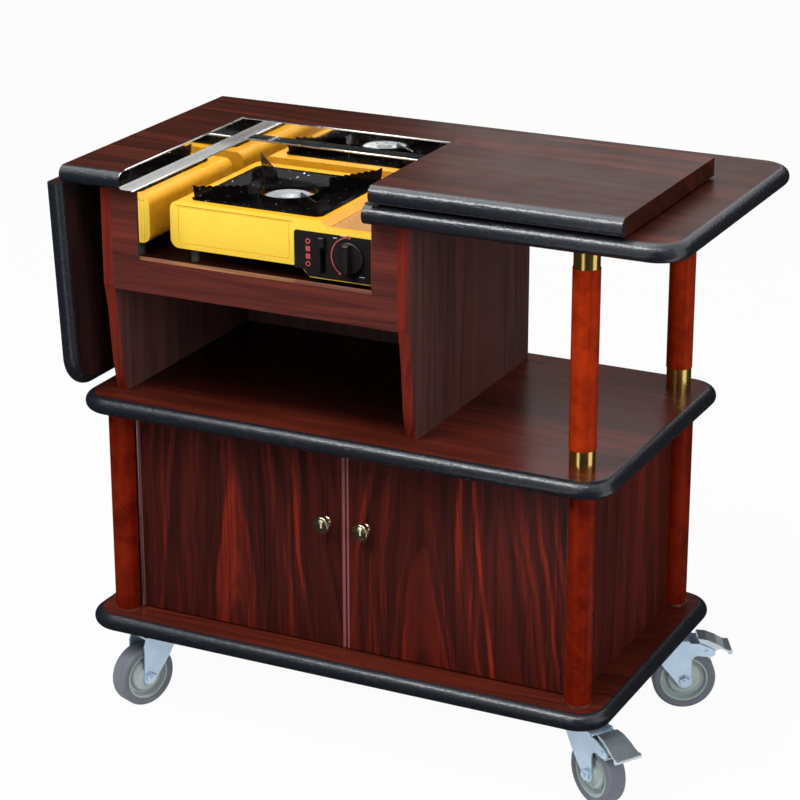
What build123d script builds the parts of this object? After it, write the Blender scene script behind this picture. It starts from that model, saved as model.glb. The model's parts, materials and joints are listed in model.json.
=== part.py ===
from build123d import *
import os
from math import cos, radians, sin, sqrt, tan

# Tableside cooking cart, millimetres, +Z up, +X to the right of someone facing the doors.
# The origin is on the floor, under the middle of the cart's overall length and depth.
# The sizes below are taken from the middle of the four lower posts, and put() moves them.

os.makedirs("parts", exist_ok=True)

# Driving sizes of the three boards
board_t = 27.5
board_tongue = 8.0
board_tongue_t = 3.0
corner_r = 50.0
shelf_length = 873.0
shelf_width = 497.0
top_right = 535.0
top_width = 500.0
caster_height = 138.0
lower_clear = 334.0
upper_clear = 332.8

# Running and fitting clearances
fit = 0.1
running = 0.05
seat = 0.3

# Portable stove, placed from its left end
stove_left = -307.0
stove_width = 340.0
stove_depth = 252.0
stove_height = 73.0
stove_corner = 14.0
stove_setback = 60.6
stove_foot_h = 23.5
stove_foot_r = 6.0
front_foot_inset = 29.0
gas_foot_inset = 16.0
foot_end_inset = 22.0
gas_part_w = 74.0
gas_drop = 10.0
gas_sink = 15.0
gas_wall = 4.0
gas_front = 44.0
slope_w = 11.0
tray_side_gap = 26.0
tray_front_gap = 14.0
tray_gas_gap = 19.0
tray_depth_gap = 36.0
tray_rim_t = 1.5
tray_sink = 8.0
tray_corner = 12.0
well_inset = 6.0
well_depth = 14.0
burner_well = 30.0
burner_r = 36.5
burner_neck = 12.0
burner_cap_h = 11.0
burner_slots = 20
burner_holes = 10
prong_end_gap = 3.735
prong_rise = 23.0
prong_t = 2.5
prong_foot = 6.0
prong_teeth = 7
tooth_h = 2.4
dial_inset = 37.3
dial_drop = 39.6
dial_r = 24.0
dial_t = 6.0
dial_grip_w = 9.0
dial_grip_h = 11.0
dial_shaft_r = 4.0
dial_shaft_reach = 18.0
lever_inset = 81.5
lever_half_w = 4.5
lever_h = 16.0
lever_reach = 9.0
slot_drop = 13.0
slot_length = 58.0
slot_depth = 15.0
sleeve_t = 1.5
panel_reach = 55.0
panel_side_gap = 3.0
panel_top_gap = 8.0
panel_low_gap = 2.0
panel_plate_t = 4.0
panel_relief = 1.0
frame_mark_w = 1.2
frame_mark_depth = 0.8
cover_t = 2.0
cover_roll_r = 2.0
cover_strip = 10.0
cover_skirt = 34.0

# Opening in the top round the stove, its steel trim and the lid that fills it
opening_side_gap = 33.0
opening_gas_gap = 26.5
opening_rear_gap = 33.0
trim_t = 1.2
trim_ledge = 15.0
liner_t = 1.0
liner_flange = 12.0
lid_axis_gap = 1.0
lid_edge_gap = 9.5
lid_side_gap = 10.0
lid_rear_gap = 12.5
lid_hinge_t = 1.5
lid_hinge_w = 20.0
lid_knuckles = 9

# Drop leaf at the left end
leaf_length = 326.0
leaf_tilt = 2.8
leaf_gap = 0.5
leaf_hinge_r = 3.0
leaf_hinge_length = 60.0
leaf_hinge_inset = 12.0
leaf_hinge_w = 30.0
leaf_hinge_t = 1.5
leaf_knuckles = 5

# Posts, ferrules and foot rings, with each row's distance in from the edge of its board
post_r = 20.0
lower_post_inset_x = 53.5
lower_post_inset_y = 51.5
upper_post_inset_x = 57.1
upper_post_inset_y = 55.2
tenon_r = 10.0
tenon_depth = 12.0
ferrule_r = 19.0
ferrule_wall = 2.0
ferrule_length = 33.0
ring_wall = 1.2
ring_h = 1.6

# Lower cabinet, set in from the middles of its posts
panel_t = 17.0
cabinet_inset_x = 5.0
cabinet_inset_y = 9.0
door_proud = 1.0
door_gap = 3.0
door_hinge_r = 2.0
door_hinge_t = 0.9
door_hinge_w = 14.0
door_knuckles = 7
knob_x = 33.0
knob_rise = 204.5
knob_cap_r = 14.0
knob_reach = 25.0
knob_cap_h = 12.0
knob_lip = 3.5
knob_foot_r = 9.5
knob_foot_h = 2.0
knob_neck_r = 6.0
knob_screw_r = 2.0
knob_screw_head_r = 4.2
knob_screw_head_t = 2.0

# Upper cabinet round the stove bay
upper_setback = 29.4
upper_left_gap = 49.5
upper_right_gap = 59.5
upper_rear_gap = 60.0
back_recess = 10.4
side_sweep = 29.1
stile_left_gap = 12.0
stile_right_gap = 1.5
bay_drop = 127.3
rail_rise = 17.5
rail_drop = 33.0
side_sweep_drop = 27.5
top_left_reach = 102.0

# Swivel casters
wheel_r = 50.0
wheel_w = 32.0
tread_half_w = 11.0
tyre_shoulder = 5.0
tyre_dish = 1.0
rim_r = 38.0
rim_inset = 2.0
rim_lip = 3.0
rim_recess = 10.0
rim_disc_r = 26.0
hub_r = 14.0
hub_half_w = 17.5
trail = 38.0
axle_r = 4.0
axle_end = 7.5
axle_nut_r = 9.5
axle_nut_t = 6.0
fork_gap = 37.0
fork_t = 2.5
fork_fold = 15.0
fork_fold_out = 5.0
crown_drop = 19.5
crown_t = 3.0
crown_r = 30.0
crown_lip = 6.0
boss_r = 12.0
plate_length = 84.0
plate_width = 68.0
plate_t = 3.0
plate_corner = 8.0
plate_hole_inset = 9.0
race_r = 25.0
race_lip_r = 28.0
race_gap = 2.0
kingpin_r = 6.0
kingpin_head = 4.0
caster_screw_r = 3.0
caster_screw_depth = 16.0
caster_screw_head_r = 5.5
caster_screw_head_t = 3.5
caster_left_inset = 86.5
caster_right_inset = 58.5
caster_side_inset = 90.5
caster_yaws = {
    "front_left": -112.5,
    "front_right": -31.5,
    "rear_left": -126.0,
    "rear_right": 28.1,
}
braked = ("front_right", "rear_right")
pedal_t = 2.4
pedal_cheek_t = 2.0
pedal_roll_r = 4.0
pedal_flare = 5.0
pedal_pivot_u = 33.5
pedal_pivot_r = 3.0
pedal_side_gap = 1.0
shoe_r = 2.2

# Levels that follow from the driving sizes
edge_r = board_t / 2
base_bottom = caster_height
base_top = base_bottom + board_t
shelf_bottom = base_top + lower_clear
shelf_top = shelf_bottom + board_t
top_bottom = shelf_top + upper_clear
top_top = top_bottom + board_t
crown_top = caster_height - crown_drop
crown_low = crown_top - crown_t
pedal_pivot_z = 2 * wheel_r
knob_z = base_top + knob_rise
stove_floor_top = top_bottom - bay_drop
stove_bottom = stove_floor_top + stove_foot_h
stove_top = stove_bottom + stove_height
gas_top = stove_top - gas_drop
gas_bottom = stove_bottom - gas_sink
rail_top = stove_floor_top + rail_rise
rail_bottom = stove_floor_top - rail_drop
side_sweep_top = stove_floor_top - side_sweep_drop
prong_top = stove_top + prong_rise
slot_high = gas_top - slot_drop
slot_low = slot_high - slot_length
dial_z = gas_top - dial_drop

# Lines across the cart that follow from the driving sizes
stove_right = stove_left + stove_width
gas_left = stove_right - gas_part_w
opening_left = stove_left - opening_side_gap
opening_right = stove_right + opening_gas_gap
lid_axis_x = opening_right + lid_axis_gap
lid_length = lid_axis_x - lid_edge_gap - opening_left - lid_side_gap
top_left = opening_left - top_left_reach
upper_left = opening_left - upper_left_gap
upper_right = opening_right + upper_right_gap
stile_left = opening_left + stile_left_gap
stile_right = opening_right + stile_right_gap
lower_post_x = shelf_length / 2 - lower_post_inset_x
upper_post_x = shelf_length / 2 - upper_post_inset_x
cabinet_half_x = lower_post_x - cabinet_inset_x
caster_left_x = -(shelf_length / 2 - caster_left_inset)
caster_right_x = shelf_length / 2 - caster_right_inset
tray_left = stove_left + tray_side_gap
tray_width = gas_left - tray_gas_gap - tray_left
tray_mid_x = tray_left + tray_width / 2
dial_x = stove_right - dial_inset
lever_x = stove_right - lever_inset
leaf_outer_x = top_left - board_t * cos(radians(leaf_tilt))
origin_x = (leaf_outer_x + top_right) / 2

# Lines from front to back that follow from the driving sizes
upper_front = -(top_width / 2 - upper_setback)
side_foot_front = upper_front + side_sweep
stove_front = upper_front + stove_setback
stove_rear = stove_front + stove_depth
opening_rear = stove_rear + opening_rear_gap
lid_rear = opening_rear - lid_rear_gap
back_front_y = opening_rear + upper_rear_gap
upper_rear = back_front_y + panel_t + back_recess
lower_post_y = shelf_width / 2 - lower_post_inset_y
upper_post_y = shelf_width / 2 - upper_post_inset_y
cabinet_half_y = lower_post_y - cabinet_inset_y
door_front_y = -(cabinet_half_y + door_proud)
caster_y = shelf_width / 2 - caster_side_inset
tray_front = stove_front + tray_front_gap
tray_depth = stove_depth - tray_depth_gap
tray_mid_y = tray_front + tray_depth / 2
prong_reach = min(tray_width, tray_depth) / sqrt(2) - prong_end_gap


def put(name, shape):
    """Write one node, moved to the cart's own origin."""
    export_step(Pos(-origin_x, 0, 0) * shape, f"parts/{name}.step")


def block(x0, x1, y0, y1, z0, z1):
    """Box between two corners."""
    middle = ((x0 + x1) / 2, (y0 + y1) / 2, (z0 + z1) / 2)
    return Pos(*middle) * Box(x1 - x0, y1 - y0, z1 - z0)


def upright(x, y, z0, z1, radius):
    """Vertical cylinder between two levels."""
    return Pos(x, y, (z0 + z1) / 2) * Cylinder(radius, z1 - z0)


def across(x, z, y0, y1, radius):
    """Cylinder that lies along Y."""
    return Pos(x, (y0 + y1) / 2, z) * Rot(90, 0, 0) * Cylinder(radius, y1 - y0)


# Half-round edge moulding with its tongue, swept along the edge of a board

def tongue_section(clearance=0.0):
    """Tongue of the moulding, or the groove for it, rooted inside the half round."""
    root = edge_r / 2
    reach = root + board_tongue + clearance
    return Pos(root - reach / 2, 0) * Rectangle(reach, board_tongue_t + 2 * clearance)


def edge_section():
    """Half disc outward of the board's core, with the tongue that goes into its groove."""
    nose = Circle(edge_r) & Pos(edge_r, 0) * Rectangle(board_t, board_t)
    return nose + tongue_section()


def along_edge(section, path, outward):
    """Section swept along a path on the core's edge, with its local X pointing outward."""
    start = Plane(origin=path @ 0, x_dir=outward, z_dir=path % 0)
    return sweep(start * section, path=path)


def moulding(path):
    """Moulding along a path that starts on the front edge, or runs down from a hinge."""
    return along_edge(edge_section(), path, (0, -1, 0))


def groove(path):
    """Groove in the core for the tongue of the moulding on the same path."""
    return along_edge(tongue_section(fit), path, (0, -1, 0))


def rounded_path(points, corner):
    """Open path on the middle plane of a board, with every corner rounded."""
    return FilletPolyline(*points, radius=corner)


def rounded_core(x0, x1, y0, y1, z0, corners):
    """Core of a board with its corner edges rounded at the given places."""
    core = block(x0, x1, y0, y1, z0, z0 + board_t)
    picked = [
        edge
        for edge in core.edges().filter_by(Axis.Z)
        if any(abs(edge.center().X - x) < 1 and abs(edge.center().Y - y) < 1 for x, y in corners)
    ]
    return fillet(picked, corner_r - edge_r)


def shelf_parts(z0):
    """Core and moulding of one of the two lower boards."""
    half_x = shelf_length / 2 - edge_r
    half_y = shelf_width / 2 - edge_r
    corners = [(sx * half_x, sy * half_y) for sx in (-1, 1) for sy in (-1, 1)]
    core = rounded_core(-half_x, half_x, -half_y, half_y, z0, corners)
    mid = z0 + edge_r
    points = [(0, -half_y, mid), (half_x, -half_y, mid), (half_x, half_y, mid), (0, half_y, mid)]
    path = rounded_path(points, corner_r - edge_r)
    right = moulding(path)
    cut = groove(path)
    return core - cut - mirror(cut, Plane.YZ), right + mirror(right, Plane.YZ)


# Boards

def base_parts():
    """Base board with holes for the post tenons and the caster screws."""
    core, edge = shelf_parts(base_bottom)
    for x, y in lower_post_places():
        core -= upright(x, y, base_top - tenon_depth - seat, base_top, tenon_r + running)
    for x, y in caster_places().values():
        for hole_x, hole_y in plate_holes(x, y):
            top = base_bottom + caster_screw_depth + seat
            core -= upright(hole_x, hole_y, base_bottom, top, caster_screw_r + running)
    return core, edge


def mid_shelf_parts():
    """Middle shelf, drilled from both faces for the tenons of the posts."""
    core, edge = shelf_parts(shelf_bottom)
    depth = tenon_depth + seat
    for x, y in lower_post_places():
        core -= upright(x, y, shelf_bottom, shelf_bottom + depth, tenon_r + running)
    for x, y in upper_post_places():
        core -= upright(x, y, shelf_top - depth, shelf_top, tenon_r + running)
    return core, edge


def top_paths():
    """Paths of the top's two lengths of moulding: left of the opening, and all the rest."""
    mid = top_bottom + edge_r
    half_y = top_width / 2 - edge_r
    right = top_right - edge_r
    left_run = Line((top_left, -half_y, mid), (opening_left, -half_y, mid))
    points = [
        (opening_right, -half_y, mid),
        (right, -half_y, mid),
        (right, half_y, mid),
        (top_left, half_y, mid),
    ]
    return left_run, rounded_path(points, corner_r - edge_r)


def top_board():
    """Top board, square at the leaf and open at the front over the stove."""
    half_y = top_width / 2 - edge_r
    right = top_right - edge_r
    core = rounded_core(
        top_left, right, -half_y, half_y, top_bottom, [(right, -half_y), (right, half_y)]
    )
    core -= block(
        opening_left, opening_right, -top_width, opening_rear, top_bottom - 1, top_top + 1
    )
    for path in top_paths():
        core -= groove(path)
    for x, y in upper_post_places():
        depth = tenon_depth + seat
        core -= upright(x, y, top_bottom, top_bottom + depth, tenon_r + running)
    for y in leaf_hinge_places():
        half = leaf_hinge_length / 2 + fit
        core -= across(top_left, top_bottom, y - half, y + half, leaf_hinge_r + seat)
        core -= block(
            top_left, top_left + leaf_hinge_w + fit, y - half, y + half,
            top_bottom, top_bottom + leaf_hinge_t,
        )
    return core


def top_edge():
    """Moulding of the top, in its two lengths."""
    left_run, long_run = top_paths()
    return Compound([moulding(left_run), moulding(long_run)])


def opening_trim():
    """Steel angle that lines the opening, with the ledge that the shut lid lies on."""
    ledge_top = top_bottom - seat
    ledge_bottom = ledge_top - trim_t
    nose_y = -top_width / 2 + edge_r
    side = block(opening_left, opening_left + trim_t, nose_y, opening_rear, ledge_bottom, top_top)
    nose = Pos(opening_left + trim_t / 2, nose_y, top_bottom + edge_r)
    nose = nose * Rot(0, 90, 0) * Cylinder(edge_r, trim_t)
    inner_x = opening_left + trim_ledge
    inner_y = opening_rear - trim_ledge
    ledge = block(opening_left, inner_x, nose_y, opening_rear, ledge_bottom, ledge_top)
    rear = block(
        opening_left, opening_right, opening_rear - trim_t, opening_rear, ledge_bottom, top_top
    )
    rear_ledge = block(
        opening_left, opening_right, inner_y, opening_rear, ledge_bottom, ledge_top
    )
    return side + nose + ledge + rear + rear_ledge


# Lid, drawn laid open on the right part of the top

def lid_levels():
    """Bottom and top of the open lid."""
    low = top_top + 2 * lid_hinge_t
    return low, low + board_t


def lid_parts():
    """Core and front moulding of the lid."""
    low, high = lid_levels()
    x0 = lid_axis_x + lid_edge_gap
    x1 = x0 + lid_length
    nose_y = -top_width / 2 + edge_r
    path = Line((x0, nose_y, low + edge_r), (x1, nose_y, low + edge_r))
    return block(x0, x1, nose_y, lid_rear, low, high) - groove(path), moulding(path)


def knuckle_row(length, count, barrel_r, pin_r):
    """Fixed and moving knuckles of a hinge along Z from the origin, pin with the fixed ones."""
    pitch = length / count
    fixed = upright(0, 0, 0, length, pin_r)
    moving = None
    for index in range(count):
        low = index * pitch + running
        high = (index + 1) * pitch - running
        ring = upright(0, 0, low, high, barrel_r)
        if index % 2 == 0:
            fixed += ring
        else:
            ring -= upright(0, 0, low - 1, high + 1, pin_r + running)
            moving = ring if moving is None else moving + ring
    return fixed, moving


def hinge_pair(length, count, barrel_r, pin_r, fixed_plate, moving_plate):
    """Two hinge leaves: each plate joins its own knuckles and is cut clear of the others."""
    fixed, moving = knuckle_row(length, count, barrel_r, pin_r)
    pitch = length / count
    clear = barrel_r + 2 * fit
    for index in range(count):
        low = index * pitch - fit
        high = (index + 1) * pitch + fit
        gap = upright(0, 0, low, high, clear)
        if index % 2 == 0:
            moving_plate -= gap
        else:
            fixed_plate -= gap
    bore = upright(0, 0, -1, length + 1, pin_r + running)
    return fixed + fixed_plate, moving + (moving_plate - bore)


def lid_hinge():
    """Continuous hinge: one leaf flat on the top, the other flat on the lid's face."""
    length = lid_rear + top_width / 2 - edge_r
    thick = lid_hinge_t - running
    reach = lid_hinge_w
    # Along Z here; the local X is the cart's X and the local Y is the cart's up
    fixed_plate = block(0, reach, -lid_hinge_t, -lid_hinge_t + thick, 0, length)
    moving_plate = block(0, reach, lid_hinge_t - thick, lid_hinge_t, 0, length)
    pair = hinge_pair(
        length, lid_knuckles, lid_hinge_t, lid_hinge_t / 2, fixed_plate, moving_plate
    )
    place = Plane(
        origin=(lid_axis_x, lid_rear, top_top + lid_hinge_t), x_dir=(1, 0, 0), z_dir=(0, -1, 0)
    )
    return [place.location * leaf for leaf in pair]


# Drop leaf, drawn hanging

def leaf_place():
    """Location that tilts the hanging leaf about its hinge."""
    return Pos(top_left, 0, top_bottom) * Rot(0, -leaf_tilt, 0)


def leaf_hinge_places():
    """Middles along Y of the two leaf hinges."""
    y = top_width / 2 - edge_r - leaf_hinge_inset - leaf_hinge_length / 2
    return (-y, y)


def leaf_parts():
    """Core and moulding of the leaf, hung from its hinge line at the origin."""
    half_y = top_width / 2 - edge_r
    low = -leaf_length + edge_r
    core = block(-board_t, 0, -half_y, half_y, low, -leaf_gap)
    ends = [edge for edge in core.edges().filter_by(Axis.X) if edge.center().Z < low + 1]
    core = fillet(ends, corner_r - edge_r)
    points = [
        (-edge_r, -half_y, -leaf_gap),
        (-edge_r, -half_y, low),
        (-edge_r, half_y, low),
        (-edge_r, half_y, -leaf_gap),
    ]
    path = rounded_path(points, corner_r - edge_r)
    edge = moulding(path)
    core -= groove(path)
    for y in leaf_hinge_places():
        half = leaf_hinge_length / 2 + fit
        core -= across(0, 0, y - half, y + half, leaf_hinge_r + seat)
        core -= block(-leaf_hinge_t, 0, y - half, y + half, -leaf_hinge_w - fit, 0)
    return leaf_place() * core, leaf_place() * edge


def leaf_hinges():
    """Fixed and moving halves of both leaf hinges, let in flush with the boards."""
    fixed_all = []
    moving_all = []
    length = leaf_hinge_length
    thick = leaf_hinge_t - running
    for y in leaf_hinge_places():
        # Local X is the cart's X, local Y the cart's up, local Z runs to the front
        fixed_plate = block(0, leaf_hinge_w, leaf_hinge_t - thick, leaf_hinge_t, 0, length)
        moving_plate = block(-leaf_hinge_t, -leaf_hinge_t + thick, -leaf_hinge_w, 0, 0, length)
        fixed, moving = hinge_pair(
            length, leaf_knuckles, leaf_hinge_r, leaf_hinge_r / 2, fixed_plate, moving_plate
        )
        place = Plane(origin=(0, y + length / 2, 0), x_dir=(1, 0, 0), z_dir=(0, -1, 0))
        fixed_all.append(Pos(top_left, 0, top_bottom) * (place.location * fixed))
        moving_all.append(leaf_place() * (place.location * moving))
    return Compound(fixed_all), Compound(moving_all)


# Posts

def lower_post_places():
    """Middles of the four lower posts."""
    return [(sx * lower_post_x, sy * lower_post_y) for sx in (-1, 1) for sy in (-1, 1)]


def upper_post_places():
    """Middles of the two upper posts, both at the right."""
    return [(upper_post_x, sy * upper_post_y) for sy in (-1, 1)]


def lower_posts():
    """Four turned posts with a tenon at each end."""
    posts = []
    for x, y in lower_post_places():
        post = upright(x, y, base_top, shelf_bottom, post_r)
        post += upright(x, y, base_top - tenon_depth, shelf_bottom + tenon_depth, tenon_r)
        posts.append(post)
    return Compound(posts)


def foot_rings():
    """Thin collars round the feet of the lower posts."""
    rings = []
    for x, y in lower_post_places():
        ring = upright(x, y, base_top, base_top + ring_h, post_r + ring_wall)
        rings.append(ring - upright(x, y, base_top - 1, base_top + ring_h + 1, post_r + running))
    return Compound(rings)


def upper_posts():
    """Two turned posts, necked down inside their ferrules."""
    posts = []
    for x, y in upper_post_places():
        post = upright(x, y, shelf_top + ferrule_length, top_bottom - ferrule_length, post_r)
        post += upright(x, y, shelf_top, top_bottom, ferrule_r - ferrule_wall)
        post += upright(x, y, shelf_top - tenon_depth, top_bottom + tenon_depth, tenon_r)
        posts.append(post)
    return Compound(posts)


def ferrules():
    """Brass sleeves at both ends of the upper posts."""
    sleeves = []
    for x, y in upper_post_places():
        for low in (shelf_top, top_bottom - ferrule_length):
            sleeve = upright(x, y, low, low + ferrule_length, ferrule_r)
            bore = ferrule_r - ferrule_wall + running
            sleeves.append(sleeve - upright(x, y, low - 1, low + ferrule_length + 1, bore))
    return Compound(sleeves)


# Lower cabinet

def cabinet_side(sign):
    """Side panel, scribed round the two posts that it stands between."""
    inner = cabinet_half_x - panel_t
    x0, x1 = sorted((sign * inner, sign * cabinet_half_x))
    panel = block(x0, x1, -cabinet_half_y, cabinet_half_y, base_top, shelf_bottom)
    for y in (-lower_post_y, lower_post_y):
        x = sign * lower_post_x
        panel -= upright(x, y, base_top - 1, shelf_bottom + 1, post_r + ring_wall + fit)
    return panel


def cabinet_back():
    """Back panel between the side panels."""
    half = cabinet_half_x - panel_t - fit
    return block(
        -half, half, cabinet_half_y - panel_t, cabinet_half_y, base_top, shelf_bottom
    )


def door_edges():
    """Inner and outer edge of the right door."""
    return door_gap / 2, cabinet_half_x - panel_t - 2 * (door_hinge_t + fit)


def door(sign):
    """Flat door with the hole for its knob's screw."""
    inner, outer = door_edges()
    x0, x1 = sorted((sign * inner, sign * outer))
    leaf = block(
        x0, x1, door_front_y, door_front_y + panel_t, base_top + door_gap, shelf_bottom - door_gap
    )
    return leaf - across(
        sign * knob_x, knob_z, door_front_y - 1, door_front_y + panel_t + 1, knob_screw_r + running
    )


def door_knob(sign):
    """Turned brass knob with the screw that holds it from inside the door."""
    rim_low = knob_reach - knob_cap_h
    lip_r = knob_cap_r - knob_lip
    lip_top = rim_low + 2 * knob_lip
    profile = [
        Polyline(
            (0, knob_reach),
            (0, -panel_t - knob_screw_head_t),
            (knob_screw_head_r, -panel_t - knob_screw_head_t),
            (knob_screw_head_r, -panel_t),
            (knob_screw_r, -panel_t),
            (knob_screw_r, 0),
            (knob_foot_r, 0),
            (knob_foot_r, knob_foot_h),
        ),
        RadiusArc((knob_foot_r, knob_foot_h), (knob_neck_r, rim_low), rim_low),
        Line((knob_neck_r, rim_low), (lip_r, rim_low)),
        ThreePointArc((lip_r, rim_low), (knob_cap_r, rim_low + knob_lip), (lip_r, lip_top)),
        Spline((lip_r, lip_top), (0, knob_reach), tangents=((-1, 0.8), (-1, 0))),
    ]
    turned = revolve(Plane.XZ * make_face(profile), Axis.Z)
    return Pos(sign * knob_x, door_front_y, knob_z) * Rot(90, 0, 0) * turned


def door_hinge(sign):
    """Continuous hinge between a door's outer edge and its side panel."""
    low = base_top + door_gap
    length = shelf_bottom - door_gap - low
    # Local X points to the side panel, local Y to the front of the cart
    thick = door_hinge_t
    reach = door_hinge_w
    fixed_plate = block(fit, fit + thick, -reach, 0, 0, length)
    moving_plate = block(-fit - thick, -fit, -reach, 0, 0, length)
    pair = hinge_pair(
        length, door_knuckles, door_hinge_r, door_hinge_r / 2, fixed_plate, moving_plate
    )
    axis_x = cabinet_half_x - panel_t - thick - fit
    axis_y = door_front_y - door_hinge_r
    if sign > 0:
        place = Plane(origin=(axis_x, axis_y, low + length), x_dir=(1, 0, 0), z_dir=(0, 0, -1))
    else:
        place = Plane(origin=(-axis_x, axis_y, low), x_dir=(-1, 0, 0), z_dir=(0, 0, 1))
    return [place.location * leaf for leaf in pair]


# Upper cabinet

def upper_side(x0):
    """Side panel whose front edge sweeps back below the fascia."""
    sweep_low = (side_foot_front, shelf_top)
    sweep_high = (upper_front, side_sweep_top)
    drop = side_sweep_top - shelf_top
    run = side_foot_front - upper_front
    shoulder = (upper_front + 0.3 * run, side_sweep_top - 0.25 * drop)
    waist = (upper_front + 0.48 * run, side_sweep_top - 0.55 * drop)
    outline = (
        Line(sweep_low, (upper_rear, shelf_top))
        + Line((upper_rear, shelf_top), (upper_rear, top_bottom))
        + Line((upper_rear, top_bottom), (upper_front, top_bottom))
        + Line((upper_front, top_bottom), sweep_high)
        + Spline(sweep_high, shoulder, waist, sweep_low)
    )
    return extrude(Plane.YZ.offset(x0) * make_face(outline), amount=panel_t)


def front_fascia():
    """Frame across the front of the stove bay: two stiles and a rail in one board."""
    x0 = upper_left + panel_t
    x1 = upper_right - panel_t
    y1 = upper_front + panel_t
    frame = block(x0, x1, upper_front, y1, rail_bottom, top_bottom)
    frame -= block(stile_left, stile_right, upper_front - 1, y1 + 1, rail_top, top_bottom + 1)
    notch_low = top_bottom - seat - trim_t - fit
    return frame - block(
        opening_left - fit, stile_left + 1, upper_front - 1, y1 + 1, notch_low, top_bottom + 1
    )


def stove_floor():
    """Board that carries the liner and the stove."""
    return block(
        upper_left + panel_t, upper_right - panel_t, upper_front + panel_t, back_front_y,
        stove_floor_top - panel_t, stove_floor_top,
    )


def niche_back():
    """Back panel of the upper cabinet, behind the open niche and the stove bay."""
    return block(
        upper_left + panel_t, upper_right - panel_t, back_front_y, back_front_y + panel_t,
        shelf_top, top_bottom,
    )


def steel_liner():
    """Folded steel skirt round the stove, under the ledge of the trim, on an outward flange."""
    left = opening_left + trim_ledge - liner_t
    rear = opening_rear - trim_ledge + liner_t
    right = stile_right
    front = upper_front + panel_t + fit
    low = stove_floor_top
    high = top_bottom - seat - trim_t
    skirt = block(left, right, front, rear, low, high)
    skirt += block(
        left - liner_flange, right + liner_flange, front, rear + liner_flange, low, low + liner_t
    )
    return skirt - block(
        left + liner_t, right - liner_t, front - 1, rear - liner_t, low - 1, high + 1
    )


# Swivel casters, each drawn with its swivel axis at the origin and its wheel towards +X

def caster_places():
    """Swivel axes by corner name."""
    return {
        "front_left": (caster_left_x, -caster_y),
        "front_right": (caster_right_x, -caster_y),
        "rear_left": (caster_left_x, caster_y),
        "rear_right": (caster_right_x, caster_y),
    }


def plate_holes(x, y):
    """Screw places of a caster plate."""
    dx = plate_length / 2 - plate_hole_inset
    dy = plate_width / 2 - plate_hole_inset
    return [(x + sx * dx, y + sy * dy) for sx in (-1, 1) for sy in (-1, 1)]


def caster_plates():
    """Four top plates, each with its raceway cup and kingpin."""
    plates = []
    for x, y in caster_places().values():
        top = base_bottom
        plate = block(
            x - plate_length / 2, x + plate_length / 2, y - plate_width / 2, y + plate_width / 2,
            top - plate_t, top,
        )
        plate = fillet(plate.edges().filter_by(Axis.Z), plate_corner)
        for hole_x, hole_y in plate_holes(x, y):
            plate -= upright(hole_x, hole_y, top - plate_t - 1, top + 1, caster_screw_r + seat)
        cup_low = crown_top + race_gap
        cup = upright(x, y, cup_low, top - plate_t, race_r)
        plate += fillet(cup.edges().group_by(Axis.Z)[0], race_gap)
        pin_low = crown_low - kingpin_head
        plate += upright(x, y, pin_low, cup_low, kingpin_r)
        plate += upright(x, y, pin_low, crown_low - seat, kingpin_r + kingpin_head)
        plates.append(plate)
    return Compound(plates)


def caster_screws():
    """Pan-head screws that hold the caster plates to the base board."""
    screws = []
    head_low = base_bottom - plate_t - caster_screw_head_t
    for x, y in caster_places().values():
        for hole_x, hole_y in plate_holes(x, y):
            head = upright(hole_x, hole_y, head_low, base_bottom - plate_t, caster_screw_head_r)
            head = fillet(head.edges().group_by(Axis.Z)[0], caster_screw_head_t / 2)
            shank_top = base_bottom + caster_screw_depth
            shank_low = base_bottom - plate_t - caster_screw_head_t / 2
            screws.append(head + upright(hole_x, hole_y, shank_low, shank_top, caster_screw_r))
    return Compound(screws)


def wheel_points(*parts):
    """Points of a side view, given from the axle in parts of the wheel's radius."""
    return [(trail + u * wheel_r, wheel_r + v * wheel_r) for u, v in parts]


def leg_outline(with_arm):
    """Side view of a fork leg, X along the trail from the swivel axis and Y up."""
    rear = trail + boss_r * 0.83
    points = [(trail - boss_r * 0.78, wheel_r - boss_r * 0.62)]
    points += wheel_points((-0.72, 0.54), (-1.04, 1.08))
    points.append((trail - 1.24 * wheel_r, crown_low))
    if with_arm:
        points.append((trail + 0.04 * wheel_r, crown_low))
        points += wheel_points(
            (0.44, 1.27), (0.78, 1.12), (0.92, 1.02), (0.95, 0.93), (0.88, 0.85), (0.72, 0.82),
            (0.54, 0.84), (0.40, 0.87), (0.29, 0.83),
        )
        points.append((rear, wheel_r * 1.72))
    else:
        points += [(rear - boss_r / 3, crown_low), (rear, crown_low - boss_r)]
    points.append((rear, wheel_r))
    web = make_face(Polyline(*points, close=True))
    return web + Pos(trail, wheel_r) * Circle(boss_r)


def folded_edge(outline, sign):
    """Front part of a leg, folded outward along an upright line."""
    face_y = sign * (fork_gap / 2 + fork_t)
    fold = trail - fork_fold
    far = trail - 1.5 * wheel_r
    plan = [(fold, face_y), (far, face_y), (far, face_y + sign * fork_fold_out)]
    wedge = extrude(make_face(Polyline(*plan, close=True)), amount=caster_height)
    if wedge.bounding_box().max.Z < 1:
        wedge = Pos(0, 0, caster_height) * wedge
    reach = fork_fold_out + fork_t
    plane = Plane(origin=(0, face_y, 0), x_dir=(1, 0, 0), z_dir=(0, -1, 0))
    return extrude(plane * outline, amount=-sign * reach) & wedge


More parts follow.
